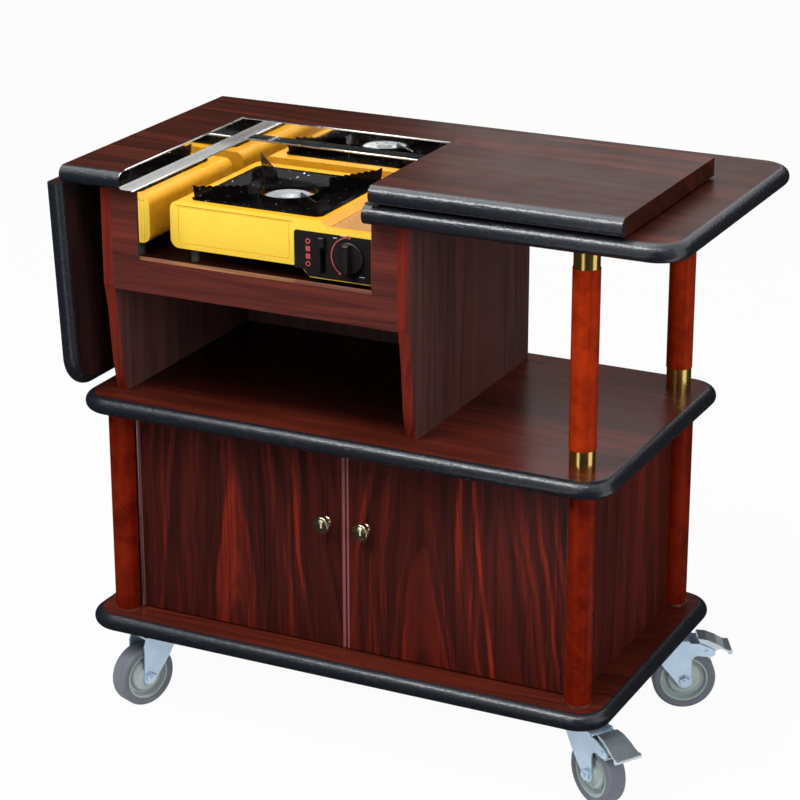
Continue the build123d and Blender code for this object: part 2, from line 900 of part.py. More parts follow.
def fork(with_arm):
    """Pressed fork: crown round the kingpin, two legs and the axle bolt."""
    half = fork_gap / 2
    outer = half + fork_t
    shape = upright(0, 0, crown_low, crown_top, crown_r)
    shape += block(-crown_r / 3, trail + boss_r / 2, -outer, outer, crown_low, crown_top)
    shape += upright(0, 0, crown_top, crown_top + crown_lip, race_lip_r + race_gap)
    shape -= upright(0, 0, crown_top, crown_top + crown_lip + 1, race_lip_r)
    shape -= upright(0, 0, crown_low - 1, crown_top + 1, kingpin_r + running)
    outline = leg_outline(with_arm)
    for y0 in (-outer, half):
        shape += extrude(Plane.XZ.offset(-y0 - fork_t) * outline, amount=fork_t)
    for sign in (-1, 1):
        shape += folded_edge(outline, sign)
        nut_plane = Plane(origin=(trail, sign * outer, wheel_r), z_dir=(0, sign, 0))
        nut = extrude(nut_plane * RegularPolygon(axle_nut_r, 6), amount=axle_nut_t)
        outside = nut.edges().group_by(Axis.Y)[0 if sign < 0 else -1]
        shape += chamfer(outside, axle_nut_t / 4)
    shape += across(trail, wheel_r, -outer - axle_end, outer + axle_end, axle_r)
    if with_arm:
        end = outer + pedal_pivot_r / 2
        shape += across(trail + pedal_pivot_u, pedal_pivot_z, -end, end, pedal_pivot_r)
    return shape


def wheel_rim():
    """Moulded wheel centre: a lip, a deep ring recess and a disc round the hub."""
    face = wheel_w / 2 - rim_inset
    lip_r = rim_r - rim_lip
    floor_r = rim_disc_r + rim_inset
    profile = [
        (axle_r + running, hub_half_w),
        (hub_r - rim_inset, hub_half_w),
        (hub_r, face),
        (hub_r + rim_lip, face - rim_inset),
        (rim_disc_r - rim_inset, face - rim_inset),
        (rim_disc_r, face - 2 * rim_inset),
        (floor_r, face - rim_recess),
        (lip_r - rim_inset, face - rim_recess),
        (lip_r, face),
        (rim_r, face),
    ]
    outline = profile + [(x, -y) for x, y in reversed(profile)]
    turned = revolve(Plane.XZ * make_face(Polyline(*outline, close=True)), Axis.Z)
    return Pos(trail, 0, wheel_r) * Rot(90, 0, 0) * turned


def tyre():
    """Rubber tread with rounded shoulders, seated on the rim."""
    half = wheel_w / 2
    wall = half - tyre_dish
    inner = rim_r + running
    shoulder = wheel_r - tyre_shoulder
    bulge_r = wheel_r - tyre_shoulder * 0.32
    bulge_w = (half + tread_half_w) / 2 + tyre_shoulder * 0.14
    profile = (
        Line((inner, -wall), (inner, wall))
        + Line((inner, wall), (shoulder, half))
        + ThreePointArc((shoulder, half), (bulge_r, bulge_w), (wheel_r, tread_half_w))
        + Line((wheel_r, tread_half_w), (wheel_r, -tread_half_w))
        + ThreePointArc((wheel_r, -tread_half_w), (bulge_r, -bulge_w), (shoulder, -half))
        + Line((shoulder, -half), (inner, -wall))
    )
    turned = revolve(Plane.XZ * make_face(profile), Axis.Z)
    return Pos(trail, 0, wheel_r) * Rot(90, 0, 0) * turned


def brake_pedal():
    """Pressed pedal on the fork's arms, with a rolled end and its shoe behind the arm's lobe."""
    half = fork_gap / 2 - pedal_side_gap
    pivot_u = trail + pedal_pivot_u
    top_line = wheel_points((0.40, 1.43), (0.68, 1.39), (1.00, 1.25), (1.24, 1.10), (1.40, 1.05))
    under_line = [(u - pedal_t / 2, z - pedal_t) for u, z in reversed(top_line)]
    sheet = make_face(Polyline(*top_line, *under_line, close=True))
    wide = half + pedal_flare
    first_u = top_line[0][0]
    end_u, end_z = top_line[-1]
    plan = [
        (first_u - pedal_t, -half), (end_u + pedal_t, -wide),
        (end_u + pedal_t, wide), (first_u - pedal_t, half),
    ]
    outline = Pos(0, 0, wheel_r) * make_face(Polyline(*plan, close=True))
    pedal = extrude(Plane.XZ.offset(-wide) * sheet, amount=2 * wide)
    pedal &= extrude(outline, amount=2 * wheel_r, dir=(0, 0, 1))
    pedal += across(end_u, end_z - pedal_roll_r + pedal_t / 2, -wide, wide, pedal_roll_r)
    cheek_points = top_line[:3] + wheel_points((1.20, 1.08), (1.00, 1.04))
    cheek_points += wheel_points((0.77, 0.74), (0.55, 0.92))
    cheek = make_face(Polyline(*cheek_points, close=True))
    for y0 in (-half, half - pedal_cheek_t):
        pedal += extrude(Plane.XZ.offset(-y0 - pedal_cheek_t) * cheek, amount=pedal_cheek_t)
    shoe_u, shoe_z = wheel_points((0.768, 0.79))[0]
    pedal += across(shoe_u, shoe_z, -half, half, shoe_r)
    return pedal - across(
        pivot_u, pedal_pivot_z, -half - 1, half + 1, pedal_pivot_r + running
    )


def place_caster(name):
    """Location of a caster by its corner name."""
    x, y = caster_places()[name]
    return Pos(x, y, 0) * Rot(0, 0, caster_yaws[name])


# Cassette stove

def stove_outline():
    """Front view of the casing: the burner part at the left, the deeper gas part at the right."""
    slope_left = gas_left - slope_w
    points = [
        (stove_left, stove_bottom),
        (stove_left, stove_top),
        (slope_left, stove_top),
        (gas_left, gas_top),
        (stove_right, gas_top),
        (stove_right, gas_bottom),
        (gas_left - 2 * gas_sink, gas_bottom),
        (gas_left - 3 * gas_sink, stove_bottom),
    ]
    face = make_face(Polyline(*points, close=True))
    left = [vertex for vertex in face.vertices() if vertex.X < stove_left + 1]
    face = fillet(left, stove_corner)
    low_right = [
        vertex for vertex in face.vertices() if vertex.X > stove_right - 1 and vertex.Y < gas_bottom + 1
    ]
    return fillet(low_right, stove_corner / 2)


def front_plane(y):
    """Plane whose local X and Y are the cart's X and Z, seen from the front."""
    return Plane(origin=(0, y, 0), x_dir=(1, 0, 0), z_dir=(0, -1, 0))


def gas_bay():
    """Inside of the gas compartment: left, right, front, rear, bottom."""
    return (
        gas_left + 1.5 * gas_wall, stove_right - gas_wall, stove_front + gas_front,
        stove_rear - gas_wall, gas_bottom + gas_wall,
    )


def cover_axis():
    """Line along Y that the cover of the gas bay turns about."""
    return gas_left + seat + cover_roll_r, gas_top - cover_roll_r


def panel_outline(growth=0.0):
    """Outline of the control panel, with its clipped lower corner."""
    left = gas_left - panel_reach - growth
    right = stove_right - panel_side_gap + growth
    low = gas_bottom + panel_low_gap - growth
    high = gas_top - panel_top_gap + growth
    step_z = stove_bottom - panel_side_gap - growth
    points = [
        (left, high),
        (right, high),
        (right, low),
        (left + 1.6 * gas_sink, low),
        (left + gas_sink, step_z),
        (left, step_z),
    ]
    face = make_face(Polyline(*points, close=True))
    corner = [v for v in face.vertices() if v.X < left + 1 and v.Y > high - 1]
    return fillet(corner, stove_corner / 3)


def pressed_frame():
    """Shallow line pressed round the plain part of the casing's front."""
    left = stove_left + stove_corner
    right = gas_left - panel_reach - panel_top_gap
    low = stove_bottom + panel_top_gap
    high = stove_top - panel_top_gap
    middle = front_plane(stove_front) * Pos((left + right) / 2, (low + high) / 2)
    radius = stove_corner / 3
    outer = extrude(middle * RectangleRounded(right - left, high - low, radius), amount=-frame_mark_depth)
    return outer - extrude(
        middle * RectangleRounded(
            right - left - 2 * frame_mark_w, high - low - 2 * frame_mark_w, radius - frame_mark_w
        ),
        amount=-frame_mark_depth,
    )


def lever_slot(growth, depth):
    """Space of the lever's slot, from just ahead of the casing to the given depth."""
    half = lever_half_w + seat + growth
    return block(
        lever_x - half, lever_x + half, stove_front - 2 * panel_relief, stove_front + depth,
        slot_low - growth, slot_high + growth,
    )


def stove_body():
    """Pressed casing with the well for the tray, the gas bay and the pocket of the panel."""
    casing = extrude(front_plane(stove_front) * stove_outline(), amount=-stove_depth)
    casing -= block(
        tray_left + well_inset, tray_left + tray_width - well_inset,
        tray_front + well_inset, tray_front + tray_depth - well_inset,
        stove_top - well_depth, stove_top + 1,
    )
    casing -= upright(
        tray_mid_x, tray_mid_y, stove_top - burner_well, stove_top, burner_r + well_depth
    )
    left, right, front, rear, low = gas_bay()
    casing -= block(left, right, front, rear, low, gas_top + 1)
    casing -= extrude(front_plane(stove_front) * panel_outline(fit), amount=-panel_plate_t)
    casing -= lever_slot(sleeve_t + fit, slot_depth + sleeve_t + fit)
    casing -= across(
        dial_x, dial_z, stove_front, stove_front + dial_shaft_reach + panel_relief, dial_shaft_r + 1
    )
    casing -= pressed_frame()
    # Seat of the cover, let down by its thickness behind the front strip
    low = gas_top - cover_t - fit
    ledge = stove_front + cover_strip
    casing -= block(gas_left, stove_right + 1, ledge, stove_rear + 1, low, gas_top + 1)
    casing -= across(*cover_axis(), ledge, stove_rear + 1, cover_roll_r + seat)
    side = stove_right - cover_t - fit
    return casing - block(
        side, stove_right + 1, ledge, stove_rear + 1, gas_top - cover_skirt - fit, gas_top + 1
    )


def control_panel():
    """Black panel with the lever's lined slot and the hole for the dial's shaft."""
    panel = extrude(
        front_plane(stove_front - panel_relief) * panel_outline(), amount=-panel_plate_t - panel_relief + fit
    )
    panel += lever_slot(sleeve_t, slot_depth + sleeve_t) & block(
        stove_left, stove_right, stove_front - panel_relief / 2, stove_rear, gas_bottom, gas_top
    )
    panel -= lever_slot(0, slot_depth)
    panel -= across(
        dial_x, dial_z, stove_front - 2 * panel_relief, stove_front + panel_plate_t + 1,
        dial_shaft_r + running,
    )
    ring_out = dial_r + 4 * panel_relief
    ring = across(dial_x, dial_z, stove_front - 2 * panel_relief, stove_front, ring_out)
    ring -= across(
        dial_x, dial_z, stove_front - 3 * panel_relief, stove_front + 1, ring_out - 2.5 * panel_relief
    )
    return panel + ring


def gas_dial():
    """Round dial with a grip bar and its shaft."""
    face_y = stove_front - panel_relief - seat
    dial = across(dial_x, dial_z, face_y - dial_t, face_y, dial_r)
    dial = fillet(dial.edges().group_by(Axis.Y)[0], dial_t / 3)
    half_h = dial_r - dial_t / 3
    grip = block(
        dial_x - dial_grip_w / 2, dial_x + dial_grip_w / 2,
        face_y - dial_t - dial_grip_h, face_y - dial_t / 2, dial_z - half_h, dial_z + half_h,
    )
    grip = fillet(grip.edges().group_by(Axis.Y)[0], dial_grip_w / 3)
    shaft = across(dial_x, dial_z, face_y - dial_t / 2, stove_front + dial_shaft_reach, dial_shaft_r)
    return dial + grip + shaft


def lock_lever():
    """Lever that locks the gas can, at the top of its slot."""
    top = slot_high - seat
    tab = block(
        lever_x - lever_half_w, lever_x + lever_half_w,
        stove_front - lever_reach, stove_front + slot_depth - seat, top - lever_h, top,
    )
    return fillet(tab.edges().group_by(Axis.Y)[0], lever_half_w / 2)


def stove_feet():
    """Four feet under the casing: long at the burner, short at the gas part."""
    feet = []
    for y in (stove_front + foot_end_inset, stove_rear - foot_end_inset):
        long_x = stove_left + front_foot_inset
        short_x = stove_right - gas_foot_inset
        feet.append(upright(long_x, y, stove_floor_top, stove_bottom, stove_foot_r))
        feet.append(upright(short_x, y, stove_floor_top, gas_bottom, stove_foot_r))
    return Compound(feet)


def burner_head():
    """Burner with its radial flame slots and a ring of holes, on the floor of the well."""
    floor = stove_top - burner_well
    cap_low = floor + burner_neck
    cap_top = cap_low + burner_cap_h
    x, y = tray_mid_x, tray_mid_y
    head = upright(x, y, floor, cap_low, burner_r * 0.78)
    cap = fillet(upright(x, y, cap_low, cap_top, burner_r).edges().group_by(Axis.Z)[-1], cover_t)
    cap -= upright(x, y, cap_top - burner_cap_h / 2, cap_top + 1, burner_r * 0.36)
    slot = Pos(burner_r, 0, cap_low + burner_cap_h / 2) * Box(burner_neck, sleeve_t, burner_cap_h / 2)
    for index in range(burner_slots):
        cap -= Pos(x, y, 0) * Rot(0, 0, index * 360 / burner_slots) * slot
    hole = upright(burner_r * 0.62, 0, cap_top - burner_cap_h / 2, cap_top + 1, burner_r * 0.09)
    for index in range(burner_holes):
        cap -= Pos(x, y, 0) * Rot(0, 0, index * 360 / burner_holes) * hole
    return head + cap


def prong(angle):
    """One pan support: a fin along a diagonal with a row of teeth and a turned-up end."""
    foot = stove_top + tray_rim_t
    inner = burner_r + 2 * well_depth
    low_top = foot + 0.5 * prong_rise
    high_top = foot + 0.74 * prong_rise
    shoulder = prong_reach - 4 * prong_t
    pitch = (shoulder - inner) / prong_teeth
    rise = (high_top - low_top) / prong_teeth
    points = [(inner, foot), (inner, low_top)]
    for index in range(prong_teeth):
        u = inner + index * pitch
        z = low_top + index * rise
        points += [(u + pitch * 0.3, z + tooth_h), (u + pitch * 0.6, z + tooth_h), (u + pitch, z + rise)]
    points += [(prong_reach, prong_top), (prong_reach - prong_t, foot)]
    fin = extrude(Plane.XZ.offset(-prong_t / 2) * make_face(Polyline(*points, close=True)), amount=prong_t)
    foot_plate = block(
        inner, prong_reach - 3 * prong_t, -prong_foot / 2, prong_foot / 2, foot, foot + tray_rim_t
    )
    return Pos(tray_mid_x, tray_mid_y, 0) * Rot(0, 0, angle) * (fin + foot_plate)


def pan_prongs():
    """Four serrated pan supports that stand on the tray's rim along its diagonals."""
    return Compound([prong(angle) for angle in (45, 135, 225, 315)])


def tray_level(z, inset, corner):
    """Rounded rectangle of the tray at one level, set in from its outline."""
    return Pos(tray_mid_x, tray_mid_y, z) * RectangleRounded(
        tray_width - 2 * inset, tray_depth - 2 * inset, corner
    )


def pan_tray():
    """Enamelled drip tray: flat rim, dished middle and raised collar round the burner."""
    wall = tray_rim_t
    rim_top = stove_top + wall
    rim = extrude(tray_level(stove_top, 0, tray_corner), amount=wall)
    dish_low = stove_top - tray_sink
    hollow = loft(
        [
            tray_level(dish_low, 2.75 * tray_sink, 2 * tray_sink),
            tray_level(rim_top, tray_sink, tray_sink + wall),
        ]
    )
    shell = loft(
        [
            tray_level(dish_low - wall, 2.75 * tray_sink - wall, 2 * tray_sink + wall),
            tray_level(stove_top, tray_sink - wall, tray_sink + 2 * wall),
        ]
    )
    tray = rim + shell - hollow
    for angle in (45, 135, 225, 315):
        stand = block(
            burner_r + well_depth, prong_reach - 4 * prong_t, -prong_foot / 2, prong_foot / 2,
            dish_low - wall / 2, rim_top,
        )
        tray += Pos(tray_mid_x, tray_mid_y, 0) * Rot(0, 0, angle) * stand
    mouth = burner_r + 3 * running + 6 * wall
    tray += upright(tray_mid_x, tray_mid_y, dish_low - wall, stove_top + wall, mouth + wall)
    return tray - upright(tray_mid_x, tray_mid_y, dish_low - 2 * wall, rim_top + 1, mouth)


def gas_cover():
    """Sheet cover over the gas bay, with a skirt down the right side."""
    front = stove_front + cover_strip + seat
    low = gas_top - cover_t
    axis_x, axis_z = cover_axis()
    cover = block(axis_x, stove_right, front, stove_rear, low, gas_top)
    cover += across(axis_x, axis_z, front, stove_rear, cover_roll_r)
    cover += block(
        stove_right - cover_t, stove_right, front, stove_rear, gas_top - cover_skirt, gas_top
    )
    rim = [
        edge
        for edge in cover.edges().filter_by(Axis.Y)
        if edge.center().X > stove_right - 1 and edge.center().Z > gas_top - 1
    ]
    return fillet(rim, cover_t * 0.9)


# Write every node

base_core, base_moulding = base_parts()
put("base_board", base_core)
put("base_edge", base_moulding)
shelf_core, shelf_moulding = mid_shelf_parts()
put("mid_shelf", shelf_core)
put("mid_shelf_edge", shelf_moulding)
put("top_board", top_board())
put("top_edge", top_edge())
put("opening_trim", opening_trim())

lid_core, lid_moulding = lid_parts()
lid_fixed, lid_moving = lid_hinge()
put("lid_board", lid_core)
put("lid_edge", lid_moulding)
put("lid_hinge_fixed", lid_fixed)
put("lid_hinge_leaf", lid_moving)

leaf_core, leaf_moulding = leaf_parts()
leaf_fixed, leaf_moving = leaf_hinges()
put("leaf_board", leaf_core)
put("leaf_edge", leaf_moulding)
put("leaf_hinge_fixed", leaf_fixed)
put("leaf_hinge_leaf", leaf_moving)

put("lower_posts", lower_posts())
put("foot_rings", foot_rings())
put("upper_posts", upper_posts())
put("post_ferrules", ferrules())

put("cabinet_side_left", cabinet_side(-1))
put("cabinet_side_right", cabinet_side(1))
put("cabinet_back", cabinet_back())
fixed_hinges = []
for side, sign in (("left", -1), ("right", 1)):
    hinge_fixed, hinge_moving = door_hinge(sign)
    fixed_hinges.append(hinge_fixed)
    put(f"door_{side}", door(sign))
    put(f"door_knob_{side}", door_knob(sign))
    put(f"door_hinge_{side}", hinge_moving)
put("door_hinge_fixed", Compound(fixed_hinges))

put("upper_side_left", upper_side(upper_left))
put("upper_side_right", upper_side(upper_right - panel_t))
put("front_fascia", front_fascia())
put("stove_floor", stove_floor())
put("niche_back", niche_back())
put("steel_liner", steel_liner())

put("caster_plates", caster_plates())
put("caster_screws", caster_screws())
for corner in caster_yaws:
    place = place_caster(corner)
    put(f"fork_{corner}", place * fork(corner in braked))
    put(f"rim_{corner}", place * wheel_rim())
    put(f"tyre_{corner}", place * tyre())
    if corner in braked:
        put(f"brake_pedal_{corner}", place * brake_pedal())

put("stove_body", stove_body())
put("stove_feet", stove_feet())
put("control_panel", control_panel())
put("gas_dial", gas_dial())
put("lock_lever", lock_lever())
put("burner_head", burner_head())
put("pan_tray", pan_tray())
put("pan_prongs", pan_prongs())
put("gas_cover", gas_cover())
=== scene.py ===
"""Looks of the tableside cooking cart: finishes, small fittings, light and camera."""

import json
import logging
import math
from dataclasses import dataclass, replace
from enum import Enum
from functools import cache
from typing import ClassVar, Iterable, Optional, Sequence, Union

import bmesh
import bpy
from mathutils import Matrix, Vector

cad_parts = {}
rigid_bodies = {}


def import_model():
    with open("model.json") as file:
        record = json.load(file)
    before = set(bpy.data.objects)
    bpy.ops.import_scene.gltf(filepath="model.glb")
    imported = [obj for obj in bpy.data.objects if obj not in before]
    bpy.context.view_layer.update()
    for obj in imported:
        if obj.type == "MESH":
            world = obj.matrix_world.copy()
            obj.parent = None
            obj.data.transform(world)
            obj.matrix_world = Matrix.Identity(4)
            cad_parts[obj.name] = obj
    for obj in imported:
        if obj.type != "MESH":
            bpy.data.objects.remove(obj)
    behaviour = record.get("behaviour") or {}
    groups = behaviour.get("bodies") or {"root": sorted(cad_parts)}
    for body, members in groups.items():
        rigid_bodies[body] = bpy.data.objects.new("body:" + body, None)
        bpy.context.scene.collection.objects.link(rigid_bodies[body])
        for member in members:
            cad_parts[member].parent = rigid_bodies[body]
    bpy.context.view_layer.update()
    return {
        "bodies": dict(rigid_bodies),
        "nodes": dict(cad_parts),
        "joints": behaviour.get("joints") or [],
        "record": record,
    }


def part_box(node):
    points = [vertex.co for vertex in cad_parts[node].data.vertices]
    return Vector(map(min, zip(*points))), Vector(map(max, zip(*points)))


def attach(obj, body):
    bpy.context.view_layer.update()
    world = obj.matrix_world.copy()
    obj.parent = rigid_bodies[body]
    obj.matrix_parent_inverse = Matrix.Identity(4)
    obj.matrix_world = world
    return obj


log = logging.getLogger("cart")

MM = 0.001
Colour = tuple[float, float, float]
Point = tuple[float, float, float]
Outline = Sequence[tuple[float, float]]
Socket = bpy.types.NodeSocket
Value = Union[float, Socket]


class GrainRun(Enum):
    """Direction of the wood grain on a board."""

    ALONG = "length of the cart"
    UPRIGHT = "upright"


class Place:
    """Turns sizes measured from the middle of the posts into points of the frame."""

    shift: float = 0.0

    @classmethod
    def read_from_base(cls) -> None:
        """Takes the middle of the base board as the middle of the posts."""
        low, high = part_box("base_board")
        cls.shift = (low.x + high.x) / 2

    @classmethod
    def along(cls, x: float) -> float:
        """X of the frame in metres, from millimetres to the right of the middle of the posts."""
        return x * MM + cls.shift

    @classmethod
    def at(cls, x: float, y: float, z: float) -> Vector:
        """Point of the frame in metres.

        Args:
            x: Millimetres to the right of the middle of the posts.
            y: Millimetres behind it.
            z: Millimetres above the floor.
        """
        return Vector((cls.along(x), y * MM, z * MM))


def link_object(name: str, data: bpy.types.ID) -> bpy.types.Object:
    """Makes an object and links it to the scene.

    Args:
        name: Its name.
        data: Its mesh, light or camera.

    Returns:
        The object.
    """
    made = bpy.data.objects.new(name, data)
    bpy.context.scene.collection.objects.link(made)
    return made


# Node trees


class Tree:
    """Builds one node tree, in a material, a world or a group."""

    colour_slots: tuple[int, int] = (6, 7)
    colour_result: int = 2

    def __init__(self, tree: bpy.types.NodeTree) -> None:
        """Keeps the tree that nodes are added to."""
        self.tree = tree

    @classmethod
    def emptied(cls, owner: Union[bpy.types.Material, bpy.types.World]) -> "Tree":
        """Empties a node tree.

        Args:
            owner: Material or world that has the tree.

        Returns:
            The tree, without the nodes that it starts with.
        """
        owner.use_nodes = True
        owner.node_tree.nodes.clear()
        return cls(owner.node_tree)

    def add(self, kind: str, **settings: object) -> bpy.types.Node:
        """Adds a node.

        Args:
            kind: Blender's name of the node type.
            settings: Properties of the node, by name.

        Returns:
            The node.
        """
        node = self.tree.nodes.new(kind)
        for name, value in settings.items():
            setattr(node, name, value)
        return node

    def feed(self, target: Socket, value: Union[Value, Sequence[float]]) -> None:
        """Links a socket to another, or sets its value.

        Args:
            target: Input socket.
            value: Output socket, or the value.
        """
        if isinstance(value, bpy.types.NodeSocket):
            self.tree.links.new(value, target)
        else:
            target.default_value = value

    def derive(
        self, kind: str, output: str, inputs: dict[str, object], **settings: object
    ) -> Socket:
        """Adds a node and feeds its inputs.

        Args:
            kind: Blender's name of the node type.
            output: Name of the output that is used.
            inputs: Values or sockets, by the input's name.
            settings: Properties of the node, by name.

        Returns:
            The output's socket.
        """
        node = self.add(kind, **settings)
        for name, value in inputs.items():
            self.feed(node.inputs[name], value)
        return node.outputs[output]

    def math(self, operation: str, first: Value, second: Value = 0.0) -> Socket:
        """Adds a Math node.

        Args:
            operation: Name of the operation.
            first: First number or socket.
            second: Second number or socket.

        Returns:
            The result's socket.
        """
        node = self.add("ShaderNodeMath", operation=operation)
        for target, value in zip(node.inputs, (first, second)):
            self.feed(target, value)
        return node.outputs[0]

    def plus(self, first: Value, second: Value) -> Socket:
        """Sum of two numbers."""
        return self.math("ADD", first, second)

    def minus(self, first: Value, second: Value) -> Socket:
        """First number less the second."""
        return self.math("SUBTRACT", first, second)

    def times(self, first: Value, second: Value) -> Socket:
        """Product of two numbers."""
        return self.math("MULTIPLY", first, second)

    def mix(self, share: Value, first: object, second: object, blend: str = "MIX") -> Socket:
        """Mixes two colours.

        Args:
            share: How much of the second colour shows.
            first: First colour or socket.
            second: Second colour or socket.
            blend: Blend type.

        Returns:
            The mixed colour's socket.
        """
        node = self.add("ShaderNodeMix", data_type="RGBA", blend_type=blend)
        self.feed(node.inputs[0], share)
        for slot, value in zip(self.colour_slots, (first, second)):
            opaque = value if isinstance(value, bpy.types.NodeSocket) else (*value, 1.0)
            self.feed(node.inputs[slot], opaque)
        return node.outputs[self.colour_result]

    def step(self, value: Value, low: float, high: float) -> Socket:
        """Smooth step from 0 at the low value to 1 at the high one."""
        inputs = {"Value": value, "From Min": low, "From Max": high}
        return self.derive("ShaderNodeMapRange", "Result", inputs, interpolation_type="SMOOTHSTEP")

    def lerp(self, share: Value, low: Value, high: Value) -> Socket:
        """Number between two others, at a share from 0 to 1."""
        inputs = {"Value": share, "To Min": low, "To Max": high}
        return self.derive("ShaderNodeMapRange", "Result", inputs)

    def noise(
        self, vector: Socket, detail: float, rough: float, scale: Value = 1.0,
        stretch: Optional[Point] = None, shift: Point = (0.0, 0.0, 0.0),
    ) -> Socket:
        """Noise value.

        Args:
            vector: Coordinates.
            detail: Octaves.
            rough: Weight of the fine octaves.
            scale: Size of the noise, per metre of the coordinates.
            stretch: Scale of the coordinates by axis, where they are stretched first.
            shift: How far the stretched coordinates are moved.

        Returns:
            The socket of the value from 0 to 1.
        """
        if stretch is not None:
            inputs = {"Vector": vector, "Scale": stretch, "Location": shift}
            vector = self.derive("ShaderNodeMapping", "Vector", inputs)
        inputs = {"Vector": vector, "Scale": scale, "Detail": detail, "Roughness": rough}
        return self.derive("ShaderNodeTexNoise", "Fac", inputs)

    def split(self, vector: Socket) -> tuple[Socket, ...]:
        """The three parts of a vector."""
        part = self.derive("ShaderNodeSeparateXYZ", "X", {"Vector": vector})
        return tuple(part.node.outputs)

    def join(self, x: Value, y: Value, z: Value) -> Socket:
        """Vector of three parts."""
        return self.derive("ShaderNodeCombineXYZ", "Vector", {"X": x, "Y": y, "Z": z})

    def bump(self, height: Socket, distance: float, strength: float) -> Socket:
        """Normal of a relief, from its height of 0 to 1 and its depth in metres."""
        inputs = {"Height": height, "Distance": distance, "Strength": strength}
        return self.derive("ShaderNodeBump", "Normal", inputs)

    def coordinates(self) -> Socket:
        """Object coordinates, which are the frame's own in metres."""
        return self.add("ShaderNodeTexCoord").outputs["Object"]

    def facing(self) -> tuple[Socket, ...]:
        """The three parts of the surface's direction in the object's own axes."""
        return self.split(self.add("ShaderNodeTexCoord").outputs["Normal"])

    def between(self, x: Socket, low: float, high: float) -> Socket:
        """Share of 1 between two places along the cart, in working millimetres, and 0 elsewhere."""
        right = self.math("GREATER_THAN", x, Place.along(low))
        return self.times(right, self.math("LESS_THAN", x, Place.along(high)))

    def place_group(
        self, group: "Group", vector: Socket, **numbers: float
    ) -> bpy.types.NodeOutputs:
        """Places a shared group.

        Args:
            group: The shared group.
            vector: Coordinates that it reads.
            numbers: Its numbers, by the input's name.

        Returns:
            The group's outputs.
        """
        node = self.add("ShaderNodeGroup", node_tree=group.shared_tree())
        self.feed(node.inputs["Vector"], vector)
        for name, value in numbers.items():
            node.inputs[name].default_value = value
        return node.outputs


class Group(Enum):
    """The shared node groups. Each is built once."""

    GRAIN = "sawn_grain"
    STREAKS = "fine_streaks"
    SMUDGE = "wiped_smudge"
    SCUFF = "moulding_scuff"
    CAST = "cast_grit"

    @cache
    def shared_tree(self) -> bpy.types.NodeTree:
        """The group's tree, built the first time that it is asked for."""
        return self.sawn_grain() if self is Group.GRAIN else self.layered()

    def start(
        self, numbers: dict[str, float], outputs: Iterable[str]
    ) -> tuple[Tree, bpy.types.NodeOutputs, bpy.types.NodeInputs]:
        """Makes the empty group, which reads coordinates and some numbers.

        Args:
            numbers: Defaults of its numbers, by name.
            outputs: Names of its outputs.

        Returns:
            The tree, the sockets that it is given and the sockets of its results.
        """
        group_tree = bpy.data.node_groups.new(self.value, "ShaderNodeTree")
        add_socket = group_tree.interface.new_socket
        add_socket(name="Vector", in_out="INPUT", socket_type="NodeSocketVector")
        for name, default in numbers.items():
            made = add_socket(name=name, in_out="INPUT", socket_type="NodeSocketFloat")
            made.default_value = default
        for name in outputs:
            add_socket(name=name, in_out="OUTPUT", socket_type="NodeSocketFloat")
        tree = Tree(group_tree)
        return tree, tree.add("NodeGroupInput").outputs, tree.add("NodeGroupOutput").inputs

    def layered(self) -> bpy.types.NodeTree:
        """Builds a group that is only its layers, all of one scale.

        Returns:
            The group's tree.
        """
        layers = LAYERS[self]
        tree, given, results = self.start({"Scale": 1.0}, [layer.output for layer in layers])
        for layer in layers:
            tree.feed(results[layer.output], layer.build(tree, given["Vector"], given["Scale"]))
        return tree.tree

    def sawn_grain(self) -> bpy.types.NodeTree:
        """Builds the rings of a tapering log that lies along local Z, with layers of streaks.

        Returns:
            The group's tree.
        """
        names = ["Rings", "Lines"] + [layer.output for layer in LAYERS[self]]
        tree, given, results = self.start(LOG_NUMBERS, names)
        wave = tree.noise(given["Vector"], detail=3.0, rough=0.55, stretch=(6.0, 6.0, 2.2))
        x, y, z = tree.split(given["Vector"])
        moved = tree.plus(x, tree.times(tree.minus(wave, 0.5), given["Wander"]))
        across = tree.math("POWER", tree.minus(moved, given["Centre"]), 2.0)
        deep = tree.math("POWER", given["Depth"], 2.0)
        taper = tree.times(z, given["Slant"])
        radius = tree.plus(tree.math("SQRT", tree.plus(across, deep)), taper)
        turns = tree.math("DIVIDE", radius, given["Spacing"])
        cut = tree.join(turns, tree.times(y, 3.0), tree.times(z, 0.9))
        rings = tree.noise(cut, detail=3.0, rough=0.6)
        tree.feed(results["Rings"], tree.step(rings, low=0.36, high=0.66))
        edge = tree.math("ABSOLUTE", tree.minus(rings, 0.47))
        tree.feed(results["Lines"], tree.minus(1.0, tree.step(edge, low=0.0, high=0.028)))
        for layer in LAYERS[self]:
            tree.feed(results[layer.output], layer.build(tree, tree.join(moved, y, z)))
        return tree.tree


@dataclass(frozen=True)
class Layer:
    """One output of a group: stretched noise, cut to a soft step where it has limits."""

    output: str
    stretch: Point
    detail: float
    rough: float
    limits: Optional[tuple[float, float]] = None
    shift: Point = (0.0, 0.0, 0.0)

    def build(self, tree: Tree, vector: Socket, scale: Value = 1.0) -> Socket:
        """Adds the layer's nodes.

        Args:
            tree: Tree of the group.
            vector: Coordinates.
            scale: Size of the noise.

        Returns:
            The socket of the value from 0 to 1.
        """
        noise = tree.noise(vector, self.detail, self.rough, scale, self.stretch, self.shift)
        return noise if self.limits is None else tree.step(noise, *self.limits)


